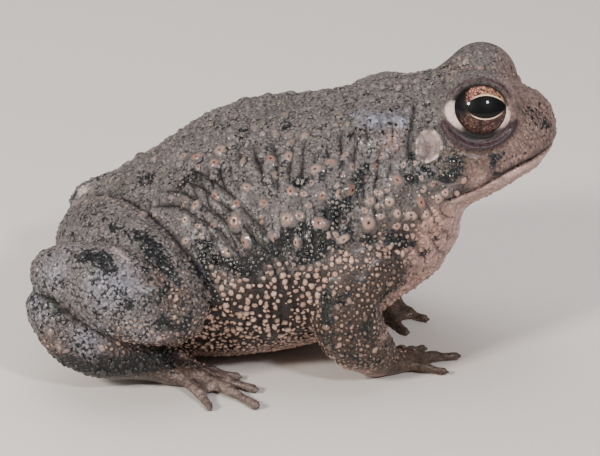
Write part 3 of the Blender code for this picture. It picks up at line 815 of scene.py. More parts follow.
normals = normals_of(points)
height = above_mouth(points)
mouth = step(points[:, 0], 22.8, 24.6)
lift = -0.70 * hill(height, 0.20) * mouth
lift += 0.22 * hill(height - 0.95, 0.55) * mouth
lift += 0.12 * hill(height + 0.95, 0.60) * mouth
lift -= 0.30 * hill(height + 2.3, 0.9) * mouth
for side in SIDES.values():
    radius, share, _, upward = eye_share(points, side)
    by_eye = (radius < 10) * 1.0
    under, over = by_eye * step(-upward, 0.8, 2.4), by_eye * step(upward, 1.5, 3.0)
    pouch = 0.36 * hill(share - 1.27, 0.10) - 0.12 * hill(share - 1.135, 0.05)
    lift += under * (pouch - 0.16 * hill(share - 1.47, 0.07))
    lift += over * (0.12 * hill(share - 1.10, 0.06) - 0.16 * hill(share - 1.22, 0.04))
    gap = off_place(points, NOSTRIL, side)
    lift += 0.16 * hill(gap - 1.15, 0.4) - 1.0 * hill(gap, 0.50)
    drum = on_oval(points, EARDRUM, side)
    lift += (
        0.16 * hill(drum - 1.02, 0.14) - 0.16 * fall(drum, 0.70, 0.98) - 0.20 * hill(drum - 1.30, 0.13)
    )
    gland = on_oval(points, PAROTOID, side)
    lift += 1.15 * fall(gland, 0.35, 1.12) - 0.24 * hill(gland - 1.22, 0.14)
points = points + normals * lift[:, None]
print("face shaped; deepest move", round(float(lift.min()), 2), "mm")

# %% [markdown]
# ## Creases and lumps
# Loose skin gathers where the body bends: upright creases behind the jaw and over the shoulder,
# slanting ones along the flank, and curved ones in the groin round the bent knee. Each set is a
# row of narrow valleys across a phase that grows over the skin, bent a little by the noise so
# that no two are alike. Broad low lumps keep the back from looking turned on a lathe.


# %% Fold the skin
def valleys(phase, narrow):
    """Narrow valleys, 1 at each whole number of phase and 0 between them."""
    return hill(phase - np.round(phase), narrow)


def hollowness(points, normals, rounds):
    """How deep each point lies under the middle of its neighbours, in millimetres."""
    found = np.einsum("ij,ij->i", pull(points, edges, 1.0) - points, normals)
    for _ in range(rounds):
        found = pull(found[:, None], edges, 0.5)[:, 0]
    return found


normals = normals_of(points)
height = trunk_height(points)
from_trunk = gap_to(trunk_tree, points)
trunk = fall(from_trunk, *LIMB_EDGE)
x, y, z = points.T
# Sets of creases; the last two are the folds between trunk and leg and between shank and foot
FURROWS = ("shoulder", "groin", "throat", "leg_fold", "heel_fold")
# How near both forms are where skin folds between them, and the depth of creases and folds, in mm
FOLD_REACH, FOLD_DEPTH, CUT_DEPTH = 1.1, 0.42, 0.45
phases, zones = {}, {}
slant = 0.55 * fall(x, -12.0, 3.0)
phases["shoulder"] = (x + slant * (z - 30.0) + 1.5 * grain(points, 6.0, 5, 3)) / 1.85
zone = (
    trunk * step(x, -20, -13) * fall(x, 19.5, 22) * step(height, 0.48, 0.62) * fall(height, 0.88, 0.96)
)
zones["shoulder"] = zone * (0.15 + 0.85 * step(grain(points * (1, 1, 0.35), 3.0, 9, 2), -0.20, 0.20))
knee_gap = np.hypot(x + 18.5, z - 14.0)
phases["groin"] = knee_gap / 1.75 + 0.35 * grain(points, 5.0, 11, 2)
zone = (
    step(knee_gap, 12.5, 14.0) * fall(knee_gap, 18.5, 22.0) * step(x, -26.0, -18.0) * step(z, 8.0, 14.0)
)
zones["groin"] = zone * step(np.abs(y), 12.0, 15.0) * trunk
phases["throat"] = (x * 0.75 + z * 0.35 + 0.9 * grain(points, 4.0, 13, 2)) / 1.7
zones["throat"] = (
    0.6 * step(x, 17.5, 19.0) * fall(x, 24.0, 26.0) * fall(z, 27.0, 31.0) * step(z, 14.0, 19.0) * trunk
)
by_leg = np.flatnonzero((x < -8) & (z > 1.5))
gaps = {}
for kind, path in (("thigh", THIGH), ("shank", SHANK), ("tarsus", TARSUS)):
    search = tree_over([tube(path[name], side) for name, side in SIDES.items()])
    gaps[kind] = np.full(len(points), FAR)
    gaps[kind][by_leg] = gap_to(search, points[by_leg])
from_leg = np.minimum(np.minimum(gaps["thigh"], gaps["shank"]), gaps["tarsus"])
cleft = step(hollowness(points, normals, 3), 0.004, 0.02)
for name, here, there, low, high in (
    ("leg_fold", from_trunk, from_leg, 2.0, 5.0),
    ("heel_fold", gaps["shank"], gaps["tarsus"], 4.0, 6.0),
):
    phases[name] = (here - there) / 2.4
    zones[name] = cleft * (here < FOLD_REACH) * (there < FOLD_REACH) * step(z, low, high)
lines = {name: zones[name] * valleys(phases[name], 0.16) for name in FURROWS}
neck = np.zeros(len(points))
for side in SIDES.values():
    beside = np.sign(side) * y > 6
    neck += beside * hill(x - 18.1 - 0.12 * (z - 40), 0.28) * step(z, 35.5, 37.0) * fall(z, 42.5, 43.6)
folds = np.clip(lines["shoulder"] + lines["groin"] + 0.6 * lines["throat"] + 1.1 * neck, 0, 1.2)
cuts = np.maximum(lines["leg_fold"], lines["heel_fold"])
lumps = 0.26 * grain(points, 5.0, 3) + 0.24 * grain(points, 1.9, 4, 2)
quiet = np.zeros(len(points))
for side in SIDES.values():
    radius, share, _, _ = eye_share(points, side)
    quiet = np.maximum(quiet, (radius < 9) * fall(share, 1.4, 1.9))
    quiet = np.maximum(quiet, fall(on_oval(points, EARDRUM, side), 1.3, 1.8))
quiet = np.maximum(quiet, step(x, 22, 25) * hill(above_mouth(points), 1.4))
digits_zone = fall(z, 2.5, 5.0)
lumps *= (1 - quiet) * (1 - 0.8 * digits_zone)
points = points + normals * (lumps - FOLD_DEPTH * folds - CUT_DEPTH * cuts)[:, None]
folds = np.maximum(folds, cuts)
print("folded; share of skin in creases", round(float((folds > 0.3).mean()), 3))

# %% [markdown]
# ## Places of the warts
# The large warts of the flank stand where they can be counted on the animal: x, height, radius
# and tone for each. A ray from the side finds where each one sits on the skin, and the skin
# swells a little under it, so that the wart has a foot. The other side gets the same number,
# shifted by seeded draws, because a toad's two sides are alike but not mirrored.

# %% Find the warts' roots
# x, z, radius, tone: 0 cream, 0.5 pink, 1 orange, -1 dark and shiny
WARTS = (
    (-17.7, 33.4, 0.79, 0.5), (-15.3, 34.1, 0.94, 1), (-12.3, 34.0, 0.86, 1), (-14.8, 33.1, 0.62, 0.5),
    (-11.5, 35.5, 1.09, 0.5), (-3.5, 35.4, 1.08, 1), (-0.7, 35.8, 0.93, 0.5), (-2.5, 33.5, 0.77, 0.5),
    (-6.8, 32.0, 0.85, 1), (-11.6, 30.2, 1.0, 1), (-8.4, 29.7, 0.77, 1), (-14.8, 28.7, 0.85, 0.5),
    (-4.1, 30.2, 0.84, 1), (-16.9, 28.3, 0.54, 0), (0.0, 31.8, 1.0, 1), (2.0, 31.5, 0.69, 0),
    (4.7, 31.4, 0.99, 1), (2.8, 30.1, 0.61, 0.5), (3.1, 32.8, 0.69, 0.5), (3.7, 34.5, 1.07, 0.5),
    (-0.4, 28.2, 1.23, 0.5), (1.4, 28.6, 0.84, 0.5), (-4.3, 28.0, 0.84, 1), (-8.4, 27.5, 1.23, 1),
    (-11.8, 26.5, 0.77, 0.5), (-14.2, 26.2, 0.62, 0.5), (-16.3, 26.6, 0.77, 0), (-13.5, 24.9, 0.69, 0),
    (-16.1, 24.0, 0.77, 0), (-6.7, 24.8, 1.07, 0.5), (4.4, 27.7, 1.15, 0.5), (5.9, 35.3, 1.0, 1),
    (8.1, 36.3, 0.77, 0.5), (9.2, 34.9, 0.69, 0.5), (12.7, 34.8, 0.84, 1), (13.7, 36.4, 0.77, 0.5),
    (16.1, 33.1, 1.07, 1), (14.7, 32.1, 0.69, 0.5), (9.0, 32.0, 1.23, 1), (7.5, 31.4, 0.92, 0.5),
    (7.0, 32.7, 0.61, 0), (7.8, 34.0, 0.61, 0.5), (13.3, 31.4, 0.77, 0.5), (12.1, 30.3, 0.77, 0.5),
    (13.6, 29.5, 0.69, 0.5), (15.0, 30.1, 0.84, 0), (11.8, 27.3, 1.23, 0.5), (11.2, 29.0, 0.69, 0.5),
    (13.8, 28.1, 0.69, 0.5), (16.2, 28.2, 0.77, 0), (16.1, 26.2, 0.85, 0.5), (18.3, 27.7, 0.92, 0),
    (20.5, 27.6, 0.77, 0), (20.4, 25.7, 0.93, 0.5), (17.6, 25.7, 0.69, 0), (19.7, 29.6, 1.0, 1),
    (21.6, 32.2, 0.62, 1), (20.1, 31.5, 0.62, 0.5), (22.4, 29.8, 0.77, 0.5), (23.5, 30.7, 0.69, 0.5),
    (8.1, 25.1, 0.92, 0), (5.8, 25.7, 0.76, 0), (6.9, 25.9, 0.61, 0.5), (16.9, 35.1, 0.69, 0),
    (18.8, 35.2, 0.62, 0), (19.7, 33.3, 0.62, 0), (18.0, 33.2, 0.85, -1), (24.6, 35.3, 0.69, -1),
    (24.5, 33.0, 0.62, -1), (-2.4, 25.4, 0.95, 0.5), (1.2, 25.0, 0.8, 0), (-9.6, 23.0, 0.85, 0),
)
# The foot under a wart, in shares of its radius
WART_SCALE, FOOT_HEIGHT, FOOT_WIDTH = 1.2, 0.34, 1.3
# How far beside the toad the rays start, in mm
BESIDE = 60.0
draw = np.random.default_rng(23)
points[:, 2] = np.maximum(points[:, 2], 0.0)
skin_faces = [tuple(polygon.vertices) for polygon in skin.data.polygons]
skin_tree = BVHTree.FromPolygons(points.tolist(), skin_faces)
wart_rows = []
for side in SIDES.values():
    for wart_x, wart_z, wart_radius, tone in WARTS:
        if side > 0:
            wart_x, wart_z = wart_x + draw.normal(0, 0.9), wart_z + draw.normal(0, 0.6)
        spot, facing, _, _ = skin_tree.ray_cast((wart_x, side * BESIDE, wart_z), (0.0, -side, 0.0))
        if spot and gap_to(trunk_tree, np.array([spot]))[0] < 1.2:
            wart_rows.append((*spot, *facing, WART_SCALE * wart_radius, tone))
wart_rows = np.array(wart_rows)
swelling = np.zeros(len(points))
for row in wart_rows:
    close = np.abs(points[:, 0] - row[0]) < 4
    gap = np.linalg.norm(points[close] - row[:3], axis=1)
    swelling[close] = np.maximum(swelling[close], FOOT_HEIGHT * row[6] * hill(gap, FOOT_WIDTH * row[6]))
points = points + normals * swelling[:, None]
points[:, 2] = np.maximum(points[:, 2], 0.0)
normals = normals_of(points)
smooth(skin.data)
print("large warts:", len(wart_rows))

# %% [markdown]
# ## The toad's markings
# The same markings have to show on the skin and on every wart that stands on it. So they are
# worked out once, as a few values from 0 to 1 at each point of the skin, each named for the
# pigment or state that it stands for. Brown and ink also carry painted shade, low on the hind leg,
# in the nostrils and along the mouth, and one value is a painted bluish sheen. The warts read them
# where they are rooted. Blotches are soft spots at chosen places whose edges the noise frays.

# %% Where the dark and pale spots are
# x, distance out, z, radius
INK_SPOTS = (
    (24.6, 14.4, 35.3, 1.9), (23.6, 14.8, 33.4, 1.7), (18.2, 15.2, 33.2, 1.7), (22.1, 10.0, 43.4, 1.1),
    (20.5, 14.8, 33.8, 1.4), (18.2, 12.0, 40.6, 0.9), (31.5, 12.4, 36.4, 1.1), (30.2, 13.1, 35.6, 1.0),
    (31.7, 12.8, 33.8, 0.9), (34.5, 8.8, 42.0, 1.1), (2.0, 18.2, 33.3, 1.2), (5.3, 18.2, 34.2, 1.3),
    (8.8, 12.4, 39.0, 1.3), (16.9, 14.9, 38.2, 0.9), (-17.2, 14.3, 30.7, 1.6), (-15.4, 13.4, 32.1, 1.6),
    (-8.0, 9.5, 37.6, 1.3), (-1.0, 8.0, 39.2, 1.2), (-24.0, 8.0, 29.5, 1.8), (-36.6, 27.1, 15.5, 1.7),
    (-35.2, 28.0, 13.7, 1.3), (-24.0, 32.0, 17.6, 1.3), (-18.9, 30.3, 18.5, 1.3),
    (-20.7, 29.8, 21.0, 1.0), (-26.3, 30.2, 11.9, 1.0), (7.9, 25.2, 16.4, 1.6), (12.0, 20.5, 24.6, 1.2),
    (16.7, 18.6, 23.5, 1.1), (20.3, 15.4, 21.2, 1.2), (11.7, 24.6, 11.7, 1.3), (13.9, 21.6, 15.0, 1.2),
    (22.2, 14.4, 23.0, 0.9), (33.6, 9.2, 35.2, 1.2), (18.0, 14.6, 36.0, 1.1), (11.5, 15.6, 37.4, 1.0),
)
# Dark bands, each a path of such spots
INK_BANDS = (
    ((-11.8, 25.2, 16.5, 1.6), (-14.2, 23.3, 20.5, 2.2), (-12.8, 22.4, 24.0, 1.9)),
    ((-11.0, 23.4, 22.0, 1.8), (-6.6, 24.3, 21.0, 2.1), (-2.5, 23.6, 23.8, 2.1),
     (2.5, 22.5, 25.8, 2.5), (6.6, 20.8, 28.8, 2.2), (8.8, 18.8, 32.2, 1.6), (10.6, 16.6, 34.8, 1.2)),
    ((1.0, 23.4, 22.6, 1.5), (5.5, 22.7, 24.2, 1.6), (9.0, 21.3, 25.6, 1.6)),
    ((-31.0, 28.3, 23.2, 1.4), (-28.6, 28.8, 23.6, 1.9), (-27.0, 30.4, 22.2, 1.2)),
    ((-27.0, 20.0, 25.2, 1.3), (-22.6, 23.2, 24.5, 1.7), (-19.4, 25.6, 22.6, 1.4),
     (-16.6, 28.2, 19.8, 1.1)),
    ((-19.6, 31.2, 15.0, 1.0), (-17.0, 30.0, 12.8, 1.4), (-14.9, 29.2, 14.6, 1.2)),
    ((12.6, 20.2, 24.4, 0.9), (15.8, 18.8, 24.0, 1.1), (18.9, 16.6, 22.8, 0.9)),
    ((5.4, 24.6, 19.5, 0.9), (5.6, 25.6, 15.5, 1.2), (6.8, 25.6, 11.5, 0.9)),
)
# Greenish places, pinkish ones, pale streaks on heel and hind foot, and a painted bluish sheen on the leg
MOSS_SPOTS = (
    (-29.5, 29.3, 23.0, 2.2), (-22.6, 22.8, 24.7, 2.8), (-14.6, 15.0, 32.6, 2.2), (4.0, 22.2, 25.5, 4.2),
    (-4.0, 23.5, 24.0, 3.5), (9.0, 18.7, 32.0, 2.8), (34.5, 7.5, 42.2, 2.2), (24.4, 14.5, 34.6, 1.8),
    (-28.0, 7.5, 27.5, 2.6), (14.0, 22.5, 14.5, 3.0), (37.0, 5.0, 40.8, 2.6), (-36.0, 27.8, 14.5, 2.0),
    (-8.3, 14.5, 35.0, 2.2), (-8.3, 5.6, 38.7, 2.0), (8.4, 10.4, 40.1, 1.8), (22.0, 12.4, 40.8, 1.4),
)
PINK_SPOTS = ((28.5, 12.6, 32.6, 2.2), (15.3, 14.2, 38.6, 1.7), (31.0, 11.6, 31.8, 1.6))
dark_places = np.vstack([INK_SPOTS, *(smooth_rows(path, 4 * len(path)) for path in INK_BANDS)])
BONE_STREAKS = (
    ((-27.6, 25.4, 24.4, 0.8), (-26.0, 27.3, 24.2, 1.1), (-24.4, 28.7, 23.1, 0.8)),
    ((-35.4, 28.5, 9.4, 0.6), (-34.9, 28.3, 7.9, 0.7)),
)
SHEEN_SPOTS = (
    (-26.5, 31.0, 19.5, 4.0), (-29.0, 29.5, 12.0, 3.0), (-22.0, 30.5, 12.5, 2.6),
    (-35.0, 26.5, 20.0, 3.0), (-39.0, 24.5, 14.5, 3.6), (-31.0, 29.0, 9.6, 2.6),
)
# Dark toe tips and snout, and the browner and the paler part of the thigh
TOE_TIPS = [
    (*(root + 0.93 * length * heading_way(heading)), 0.8, 1.0) for root, heading, length, _ in TOES
]
SNOUT_INK = ((36.4, 5.8, 41.4, 3.0), (38.4, 4.6, 38.6, 2.4))
TAN_LEG = ((-20.5, 29.5, 20.5, 3.2), (-17.0, 29.0, 17.5, 3.0))
PALE_LEG = ((-17.6, 28.6, 22.0, 2.8), (-16.6, 29.6, 17.5, 2.6))
MARKS = (
    "slate", "tan", "salmon", "brown", "bloom", "ink", "moss", "bone", "rust", "plum", "gloss", "fold",
)


# %% Work out the markings
def markings(points, normals, limb):
    """The pigments and states of the skin at these points, each from 0 to 1."""
    x, y, z = points.T
    out = np.abs(y)
    height = trunk_height(points)
    fray = grain(points, 2.0, 31)
    broad = grain(points, 7.0, 32)
    bent = points + 1.5 * np.stack([grain(points, 2.6, seed) for seed in (41, 42, 43)], 1)
    trunk, arm = 1 - limb, limb * step(x, -1.0, 1.5)
    leg = limb - arm
    face = step(x, 20.0, 26.0) * trunk
    made = {}

    def deepen(name, value):
        made[name] = np.maximum(made[name], value)

    # Painted shade on the lower part of the hind leg, which lies in shadow near the floor
    leg_underside_shade = leg * fall(z + 1.5 * fray, 6.0, 9.0)
    made["slate"] = np.clip(trunk * step(height + 0.05 * broad, 0.50, 0.72) * (1 - 0.35 * face), 0, 1)
    deepen("slate", leg * step(z + 1.5 * broad, 7.0, 13.0))
    made["tan"] = np.maximum(arm, 0.6 * leg * fall(z + 1.5 * broad, 9.0, 15.0))
    deepen("tan", face * step(z, 32.0, 35.0) * fall(z, 43.0, 46.0) * (1 - 0.5 * step(x, 29, 34)))
    deepen("tan", 0.9 * leg * near(bent, TAN_LEG))
    low = fall(height + 0.06 * broad, 0.40, 0.52)
    chest = (
        step(x + 0.4 * (24 - z), 17.0, 21.0)
        * (1 - step(above_mouth(points), -0.4, 0.0) * step(x, 22, 24))
    )
    chest *= fall(height + 0.08 * broad, 0.40, 0.58)
    made["salmon"] = trunk * np.maximum(chest, 0.9 * fall(height, 0.06, 0.16))
    deepen("salmon", 0.40 * trunk * step(x, 29, 34) * step(above_mouth(points), 0.3, 1.0))
    deepen("salmon", 0.75 * near(bent, PINK_SPOTS))
    deepen("salmon", 0.85 * arm * step(x + 0.4 * (24 - z), 19.0, 21.0) * step(z, 7.0, 10.0))
    made["brown"] = trunk * low * (1 - made["salmon"])
    # Painted shade: dark brown low on the hind leg
    deepen("brown", leg_underside_shade * step(z, 2.4, 4.4))
    deepen("brown", 0.5 * arm * step(z, 5.0, 8.0))
    mouth_zone = step(x, 22.8, 24.8) * trunk
    jaw = mouth_zone * step(-above_mouth(points), 0.1, 0.5) * fall(-above_mouth(points), 1.5, 2.2)
    spots = near(bent, dark_places)
    made["ink"] = np.clip(1.15 * spots, 0, 1) * (1 - jaw)
    deepen("ink", 0.60 * near(bent, SNOUT_INK))
    speckled = 0.36 * step(fray + 0.4 * broad, -0.25, 0.3)
    deepen("ink", trunk * speckled * step(height, 0.46, 0.58) * (1 - 0.7 * face))
    deepen("ink", (0.16 + 1.1 * speckled) * limb * step(z, 2.4, 4.0))
    # Painted shade: black low on the hind leg
    deepen("ink", 0.84 * leg_underside_shade * step(z, 2.4, 4.0))
    deepen("ink", 0.42 * near(points, ((26.0, 12.0, 44.5, 4.0),)) * (y > 0))
    made["moss"] = np.clip(near(bent, MOSS_SPOTS) * 0.70 + 0.40 * fray, 0, 1)
    # A painted bluish sheen on calf, heel and tarsus
    made["bloom"] = leg * 0.45 * near(bent, SHEEN_SPOTS)
    made["bone"] = 0.55 * jaw
    made["rust"] = made["plum"] = 0.0 * x
    made["gloss"] = (
        (0.18 + 0.22 * step(broad, -0.2, 0.6)) * (1 - 0.6 * arm) + 0.75 * trunk * step(spots, 0.5, 0.8)
    )
    made["gloss"] *= 1 - near(points, SOFT_PLACES[:4], 1.3)
    for side in SIDES.values():
        radius, share, forward, upward = eye_share(points, side)
        on_lid = (radius < EYE_ZONE) * 1.0
        turn = np.degrees(np.arctan2(upward, forward)) % 360
        rear_edge = 1.03 + 0.19 * hill(turn - 183, 26)
        rear_white = (
            hill(turn - 189, 38) * step(turn, 154, 164) * step(share, 0.55, 0.62) * (1 + 0.12 * fray)
        )
        rear_white *= (
            fall(share, rear_edge - 0.12, rear_edge + 0.03) * (0.92 - 0.34 * step(share, 0.88, 1.18))
        )
        fore = (turn + 180) % 360 - 180
        fore_edge = 1.02 + 0.075 * hill(fore + 22, 30)
        front_white = (
            0.72 * hill(fore + 16, 36) * step(share, 0.55, 0.62)
            * fall(share, fore_edge - 0.06, fore_edge + 0.02)
        )
        deepen("bone", on_lid * np.maximum(rear_white, 0.9 * front_white) * 1.3)
        under = on_lid * step(-upward, 0.8, 2.4)
        over = on_lid * step(upward, 0.8, 2.4)
        deepen(
            "plum", under * np.maximum(1.1 * hill(share - 1.25, 0.14), 0.75 * hill(share - 1.06, 0.07)),
        )
        deepen("plum", 0.55 * over * hill(share - 1.08, 0.09))
        deepen("rust", (0.35 + 0.4 * fray) * under * hill(share - 1.42, 0.08))
        made["gloss"] *= 1 - 0.8 * on_lid * (share < 1.7)
        deepen("rust", 0.30 * over * hill(share - 1.22, 0.05))
        made["ink"] = made["ink"] * (1 - on_lid * (share < 1.5))
        drum = on_oval(points, EARDRUM, side) + 0.10 * fray
        beads = step(grain(points, 0.55, 72, 1), -0.1, 0.4)
        deepen(
            "bone",
            (0.48 + 0.2 * fray) * fall(drum, 1.0, 1.15) + 0.40 * beads * hill(drum - 0.98, 0.12),
        )
        deepen("rust", 0.30 * fall(drum, 0.6, 1.0))
        made["slate"] = made["slate"] * step(drum, 1.0, 1.2)
        made["ink"] = np.maximum(
            made["ink"] * step(drum, 1.0, 1.15), 0.8 * hill(drum - 1.34, 0.12) * step(fray, -0.5, 0.3),
        )
        gland = fall(on_oval(points, PAROTOID, side), 0.7, 1.15)
        deepen("gloss", gland)
        deepen("slate", gland)
        # A painted bluish highlight in a band along the top of the parotoid gland
        deepen(
            "bloom",
            gland * hill(z - 41.0 - 0.5 * fray, 0.8) * (
                0.22 + 0.66 * step(grain(points, 0.9, 73, 2), -0.15, 0.35)
            ),
        )
        # Painted shade in the pit of each nostril
        deepen("ink", hill(off_place(points, NOSTRIL, side), 0.6))
    streaked = near(points, np.vstack([smooth_rows(path, 10) for path in BONE_STREAKS]))
    deepen("bone", 0.62 * streaked)
    deepen("rust", 0.35 * streaked)
    made["ink"] = made["ink"] * (1 - streaked)
    deepen("bone", 0.75 * near(points, ((-38.3, 21.0, 17.0, 2.0),)) * (y > 0))
    knob = near(points, ((-20.2, 24.1, 4.0, 1.0),))
    deepen("rust", 0.5 * knob)
    toes = limb * fall(z, 2.6, 4.2)
    deepen(
        "bone",
        0.42 * toes * step(x, -20.0, -15.0) * (x < 0) + 0.28 * toes * (x > 8) * (
            1 - 0.7 * step(x, 19, 24)
        ),
    )
    tips = near(points, TOE_TIPS)
    made["ink"] = np.maximum(made["ink"] * (1 - 0.5 * toes), 0.6 * tips * toes)
    deepen("salmon", 0.6 * arm * step(-normals[:, 2], 0.6, 0.9))
    # Painted shade along the groove of the mouth
    deepen("ink", 0.55 * mouth_zone * hill(above_mouth(points), 0.16))
    return {name: np.clip(value, 0, 1) for name, value in made.items()}


limb = step(gap_to(trunk_tree, points), *LIMB_EDGE)
marks = markings(points, normals, limb)
hollow = hollowness(points, normals, 2)
marks["fold"] = np.clip(np.maximum(step(hollow, 0.012, 0.075), 1.25 * folds), 0, 1)
for name, value in marks.items():
    keep(skin.data, name, value)
shares = []
for side in SIDES.values():
    radius, share, _, _ = eye_share(points, side)
    shares.append(np.where(radius < EYE_ZONE, share, FAR))
keep(skin.data, "lid", np.minimum(*shares))
for name in FURROWS:
    keep(skin.data, name + "_phase", phases[name])
    keep(skin.data, name + "_zone", zones[name])
print("markings:", {name: round(float(marks[name].mean()), 3) for name in MARKS})

# %% [markdown]
# ## Moist, warty skin
# A toad's skin is thin and granular, dull where it is dry and wet-bright in points. The colours
# are layered as a painter would glaze them: a taupe ground, then each pigment by its marking,
# frayed by noise in real millimetres, then the painted shade of the creases. Painted shade also
# darkens the skin between the pebbles and low on the hind leg, and a painted bluish sheen lies on
# leg and gland. The pebbles are about half a millimetre across. Skin and warts share this recipe,
# so a wart's foot matches the skin round it.

# %% Layers of pigment
TAUPE = "#5a504b"
PIGMENTS = {
    "slate": "#625b58",
    "tan": "#4d3d32",
    # Brown ground of the lower flank, also painted shade low on the hind leg
    "brown": "#271b15",
    "salmon": "#a9857a",
    # Colour of the painted bluish sheen and highlight
    "bloom": "#9394a4",
    "moss": "#3b4131",
    "plum": "#362527",
    "rust": "#7a4a35",
    # Black markings, also painted shade in the nostrils, along the mouth and low on the hind leg
    "ink": "#0b0e10",
    "bone": "#cbb0a8",
}


# Size in mm and detail of each noise
NOISES = {"blotch": (3.2, 4.0), "mottle": (1.0, 4.0), "speck": (0.50, 2.0)}
# Glaze: the noise that frays it, that noise's share, and where the sum starts to show and is full
GLAZES = {
    "moss": ("mottle", 1.0, 0.85, 1.35),
    "rust": ("speck", 1.0, 0.75, 1.15),
    "plum": ("mottle", 1.0, 0.6, 1.1),
    "ink": ("mottle", 1.8, 1.92, 2.20),
    "bone": ("mottle", 0.5, 0.55, 1.25),
}
# Size of a pebble of the skin, in mm
PEBBLE = 0.62


def pigmented(tree):
    """Adds the toad's colouring, with its painted shade and sheen, to a shader tree; returns colour,
    roughness and pebble height.
    """
    place = add(tree, "ShaderNodeTexCoord").outputs["Object"]
    mark = {name: value_of(tree, name) for name in MARKS}
    noise = {name: noise_of(tree, place, size, detail, 0.6) for name, (size, detail) in NOISES.items()}
    pebble = add(
        tree, "ShaderNodeTexVoronoi", {"Vector": place, "Scale": 1 / (PEBBLE * MM), "Randomness": 1.0},
    )
    raised = ease(tree, pebble.outputs["Distance"], 0.15, 0.75, 1.0, 0.0)
    colour = linear(TAUPE)
    for name in ("slate", "tan", "brown", "salmon", "bloom"):
        colour = mix(tree, mark[name], colour, PIGMENTS[name])
    light = ramp(tree, noise["mottle"], 0.30, 0.70, 0.50, 1.60)
    patch = ramp(tree, noise["blotch"], 0.30, 0.70, 0.78, 1.25)
    # Painted shade: the skin darker between the pebbles and lighter on their tops
    pebble_shade = ramp(tree, raised, 0.0, 1.0, 0.70, 1.18)
    for shade in (light, patch, pebble_shade):
        colour = scaled(tree, colour, shade)
    for name, (speckle, share, low, high) in GLAZES.items():
        frayed = calc(tree, "MULTIPLY_ADD", noise[speckle], share, mark[name])
        if name == "ink":
            frayed = calc(tree, "MULTIPLY_ADD", noise["speck"], 1.4, frayed)
            frayed = calc(tree, "MULTIPLY_ADD", raised, -0.30, frayed)
        amount = ease(tree, frayed, low, high)
        colour = mix(tree, amount, colour, PIGMENTS[name])
    flecks = calc(tree, "MULTIPLY", noise["speck"], noise["mottle"])
    fleck = ease(tree, flecks, 0.285, 0.33)
    shown = ramp(tree, mark["bone"], 0.05, 0.35, 0.75, 0.0)
    fleck = calc(tree, "MULTIPLY", fleck, shown)
    calm = calc(tree, "ADD", mark["salmon"], mark["bloom"])
    plain = ramp(tree, calm, 0.0, 1.0, 1.0, 0.15)
    fleck = calc(tree, "MULTIPLY", fleck, plain)
    colour = mix(tree, fleck, colour, "#15171b")
    # Painted shade in the creases and hollows of the skin
    crease_shade = ramp(tree, mark["fold"], 0.0, 1.0, 0.0, 0.85)
    colour = mix(tree, crease_shade, colour, "#191413")
    wet = calc(tree, "MULTIPLY_ADD", noise["blotch"], 0.5, mark["gloss"])
    wet = calc(tree, "SUBTRACT", wet, mark["fold"])
    rough = ramp(tree, wet, 0.20, 1.1, 0.66, 0.26)
    return colour, rough, raised, noise


# %% The skin's material
# Living skin, IOR about 1.4; a thin coat stands for the mucus that makes points of light
SKIN_IOR = 1.4
skin_look, tree, shader = new_look("moist_warty_skin")
colour, rough, raised, noise = pigmented(tree)
# Painted shade: a dark line down the valley of each crease
for name in FURROWS:
    phase, zone = (value_of(tree, name + part) for part in ("_phase", "_zone"))
    there = calc(tree, "FRACT", calc(tree, "ADD", phase, 0.5))
    there = calc(tree, "ABSOLUTE", calc(tree, "SUBTRACT", there, 0.5))
    furrow_shade = ease(tree, there, 0.035, 0.10, 0.92, 0.0)
    furrow_shade = calc(tree, "MULTIPLY", furrow_shade, zone)
    colour = mix(tree, furrow_shade, colour, "#0f0b0b")
margin = ease(tree, value_of(tree, "lid"), 1.0, 1.055, 0.95, 0.0)
not_white = ramp(tree, value_of(tree, "bone"), 0.2, 0.6, 1.0, 0.0)
margin = calc(tree, "MULTIPLY", margin, not_white)
colour = mix(tree, margin, colour, "#0b0809")
rough = calc(tree, "MAXIMUM", rough, margin)
grit = calc(tree, "MULTIPLY_ADD", noise["speck"], 0.5, raised)
relief = add(tree, "ShaderNodeBump", {"Strength": 0.75, "Distance": 0.16 * MM, "Height": grit})
feed(tree, shader, {
    "Base Color": colour, "Roughness": rough, "Normal": relief.outputs["Normal"],
    "IOR": SKIN_IOR, "Coat Weight": 0.15, "Coat Roughness": 0.25,
})
skin.data.materials.append(skin_look)
print("skin material:", len(tree.nodes), "nodes")

# %% [markdown]
# ## Warts and granules
# Every bump is a small dome whose foot is sunk in the skin. There are thousands, so they are
# laid by Geometry Nodes: one tree spreads points over the skin where a value allows them, never
# closer than a spacing, and sets a dome on each, turned to the skin. A second tree sets domes on
# the chosen places of the large warts. Realizing the instances makes plain mesh of them.


# %% One dome to repeat
def dome(name, sides, profile, pore=0.0):
    """A closed dome of radius 1 mm from (radius, height) rings, with its crown and pore as values."""
    rings = [level_ring(sides, radius, rise) for radius, rise in profile[1:-1]]
    made = mesh_from(name, [loft(rings, (0, 0, profile[0][1]), (0, 0, profile[-1][1]))])
    places = points_of(made.data)
    reach = np.hypot(places[:, 0], places[:, 1])
    crown = places[:, 2] > 0
    keep(made.data, "crown", np.where(crown, 1 - reach, 0.0))
    keep(made.data, "pore", pore * (reach < 0.12) * crown)
    keep(made.data, "local", places)
    smooth(made.data)
    return made


wart_dome = dome(
    "wart_dome", 11,
    (
        (0, -0.35), (1.22, -0.14), (0.98, 0.10), (0.74, 0.38), (0.50, 0.54), (0.24, 0.60), (0.10, 0.52),
        (0, 0.46),
    ),
    1.0,
)
granule_dome = dome(
    "granule_dome", 7, ((0, -0.35), (1.05, -0.16), (0.84, 0.34), (0.46, 0.68), (0, 0.80)),
)
grit_dome = dome("grit_dome", 6, ((0, -0.30), (1.10, -0.10), (0.58, 0.46), (0, 0.72)))
print("faces of the domes:", [len(made.data.polygons) for made in (wart_dome, granule_dome, grit_dome)])

# %% [markdown]
# ## The material of the domes
# A wart is skin too. It starts from the same layers, then its crown turns paler and pinker, or
# orange where the gland under it shows, and its pore is a dark point. Its foot stays skin.

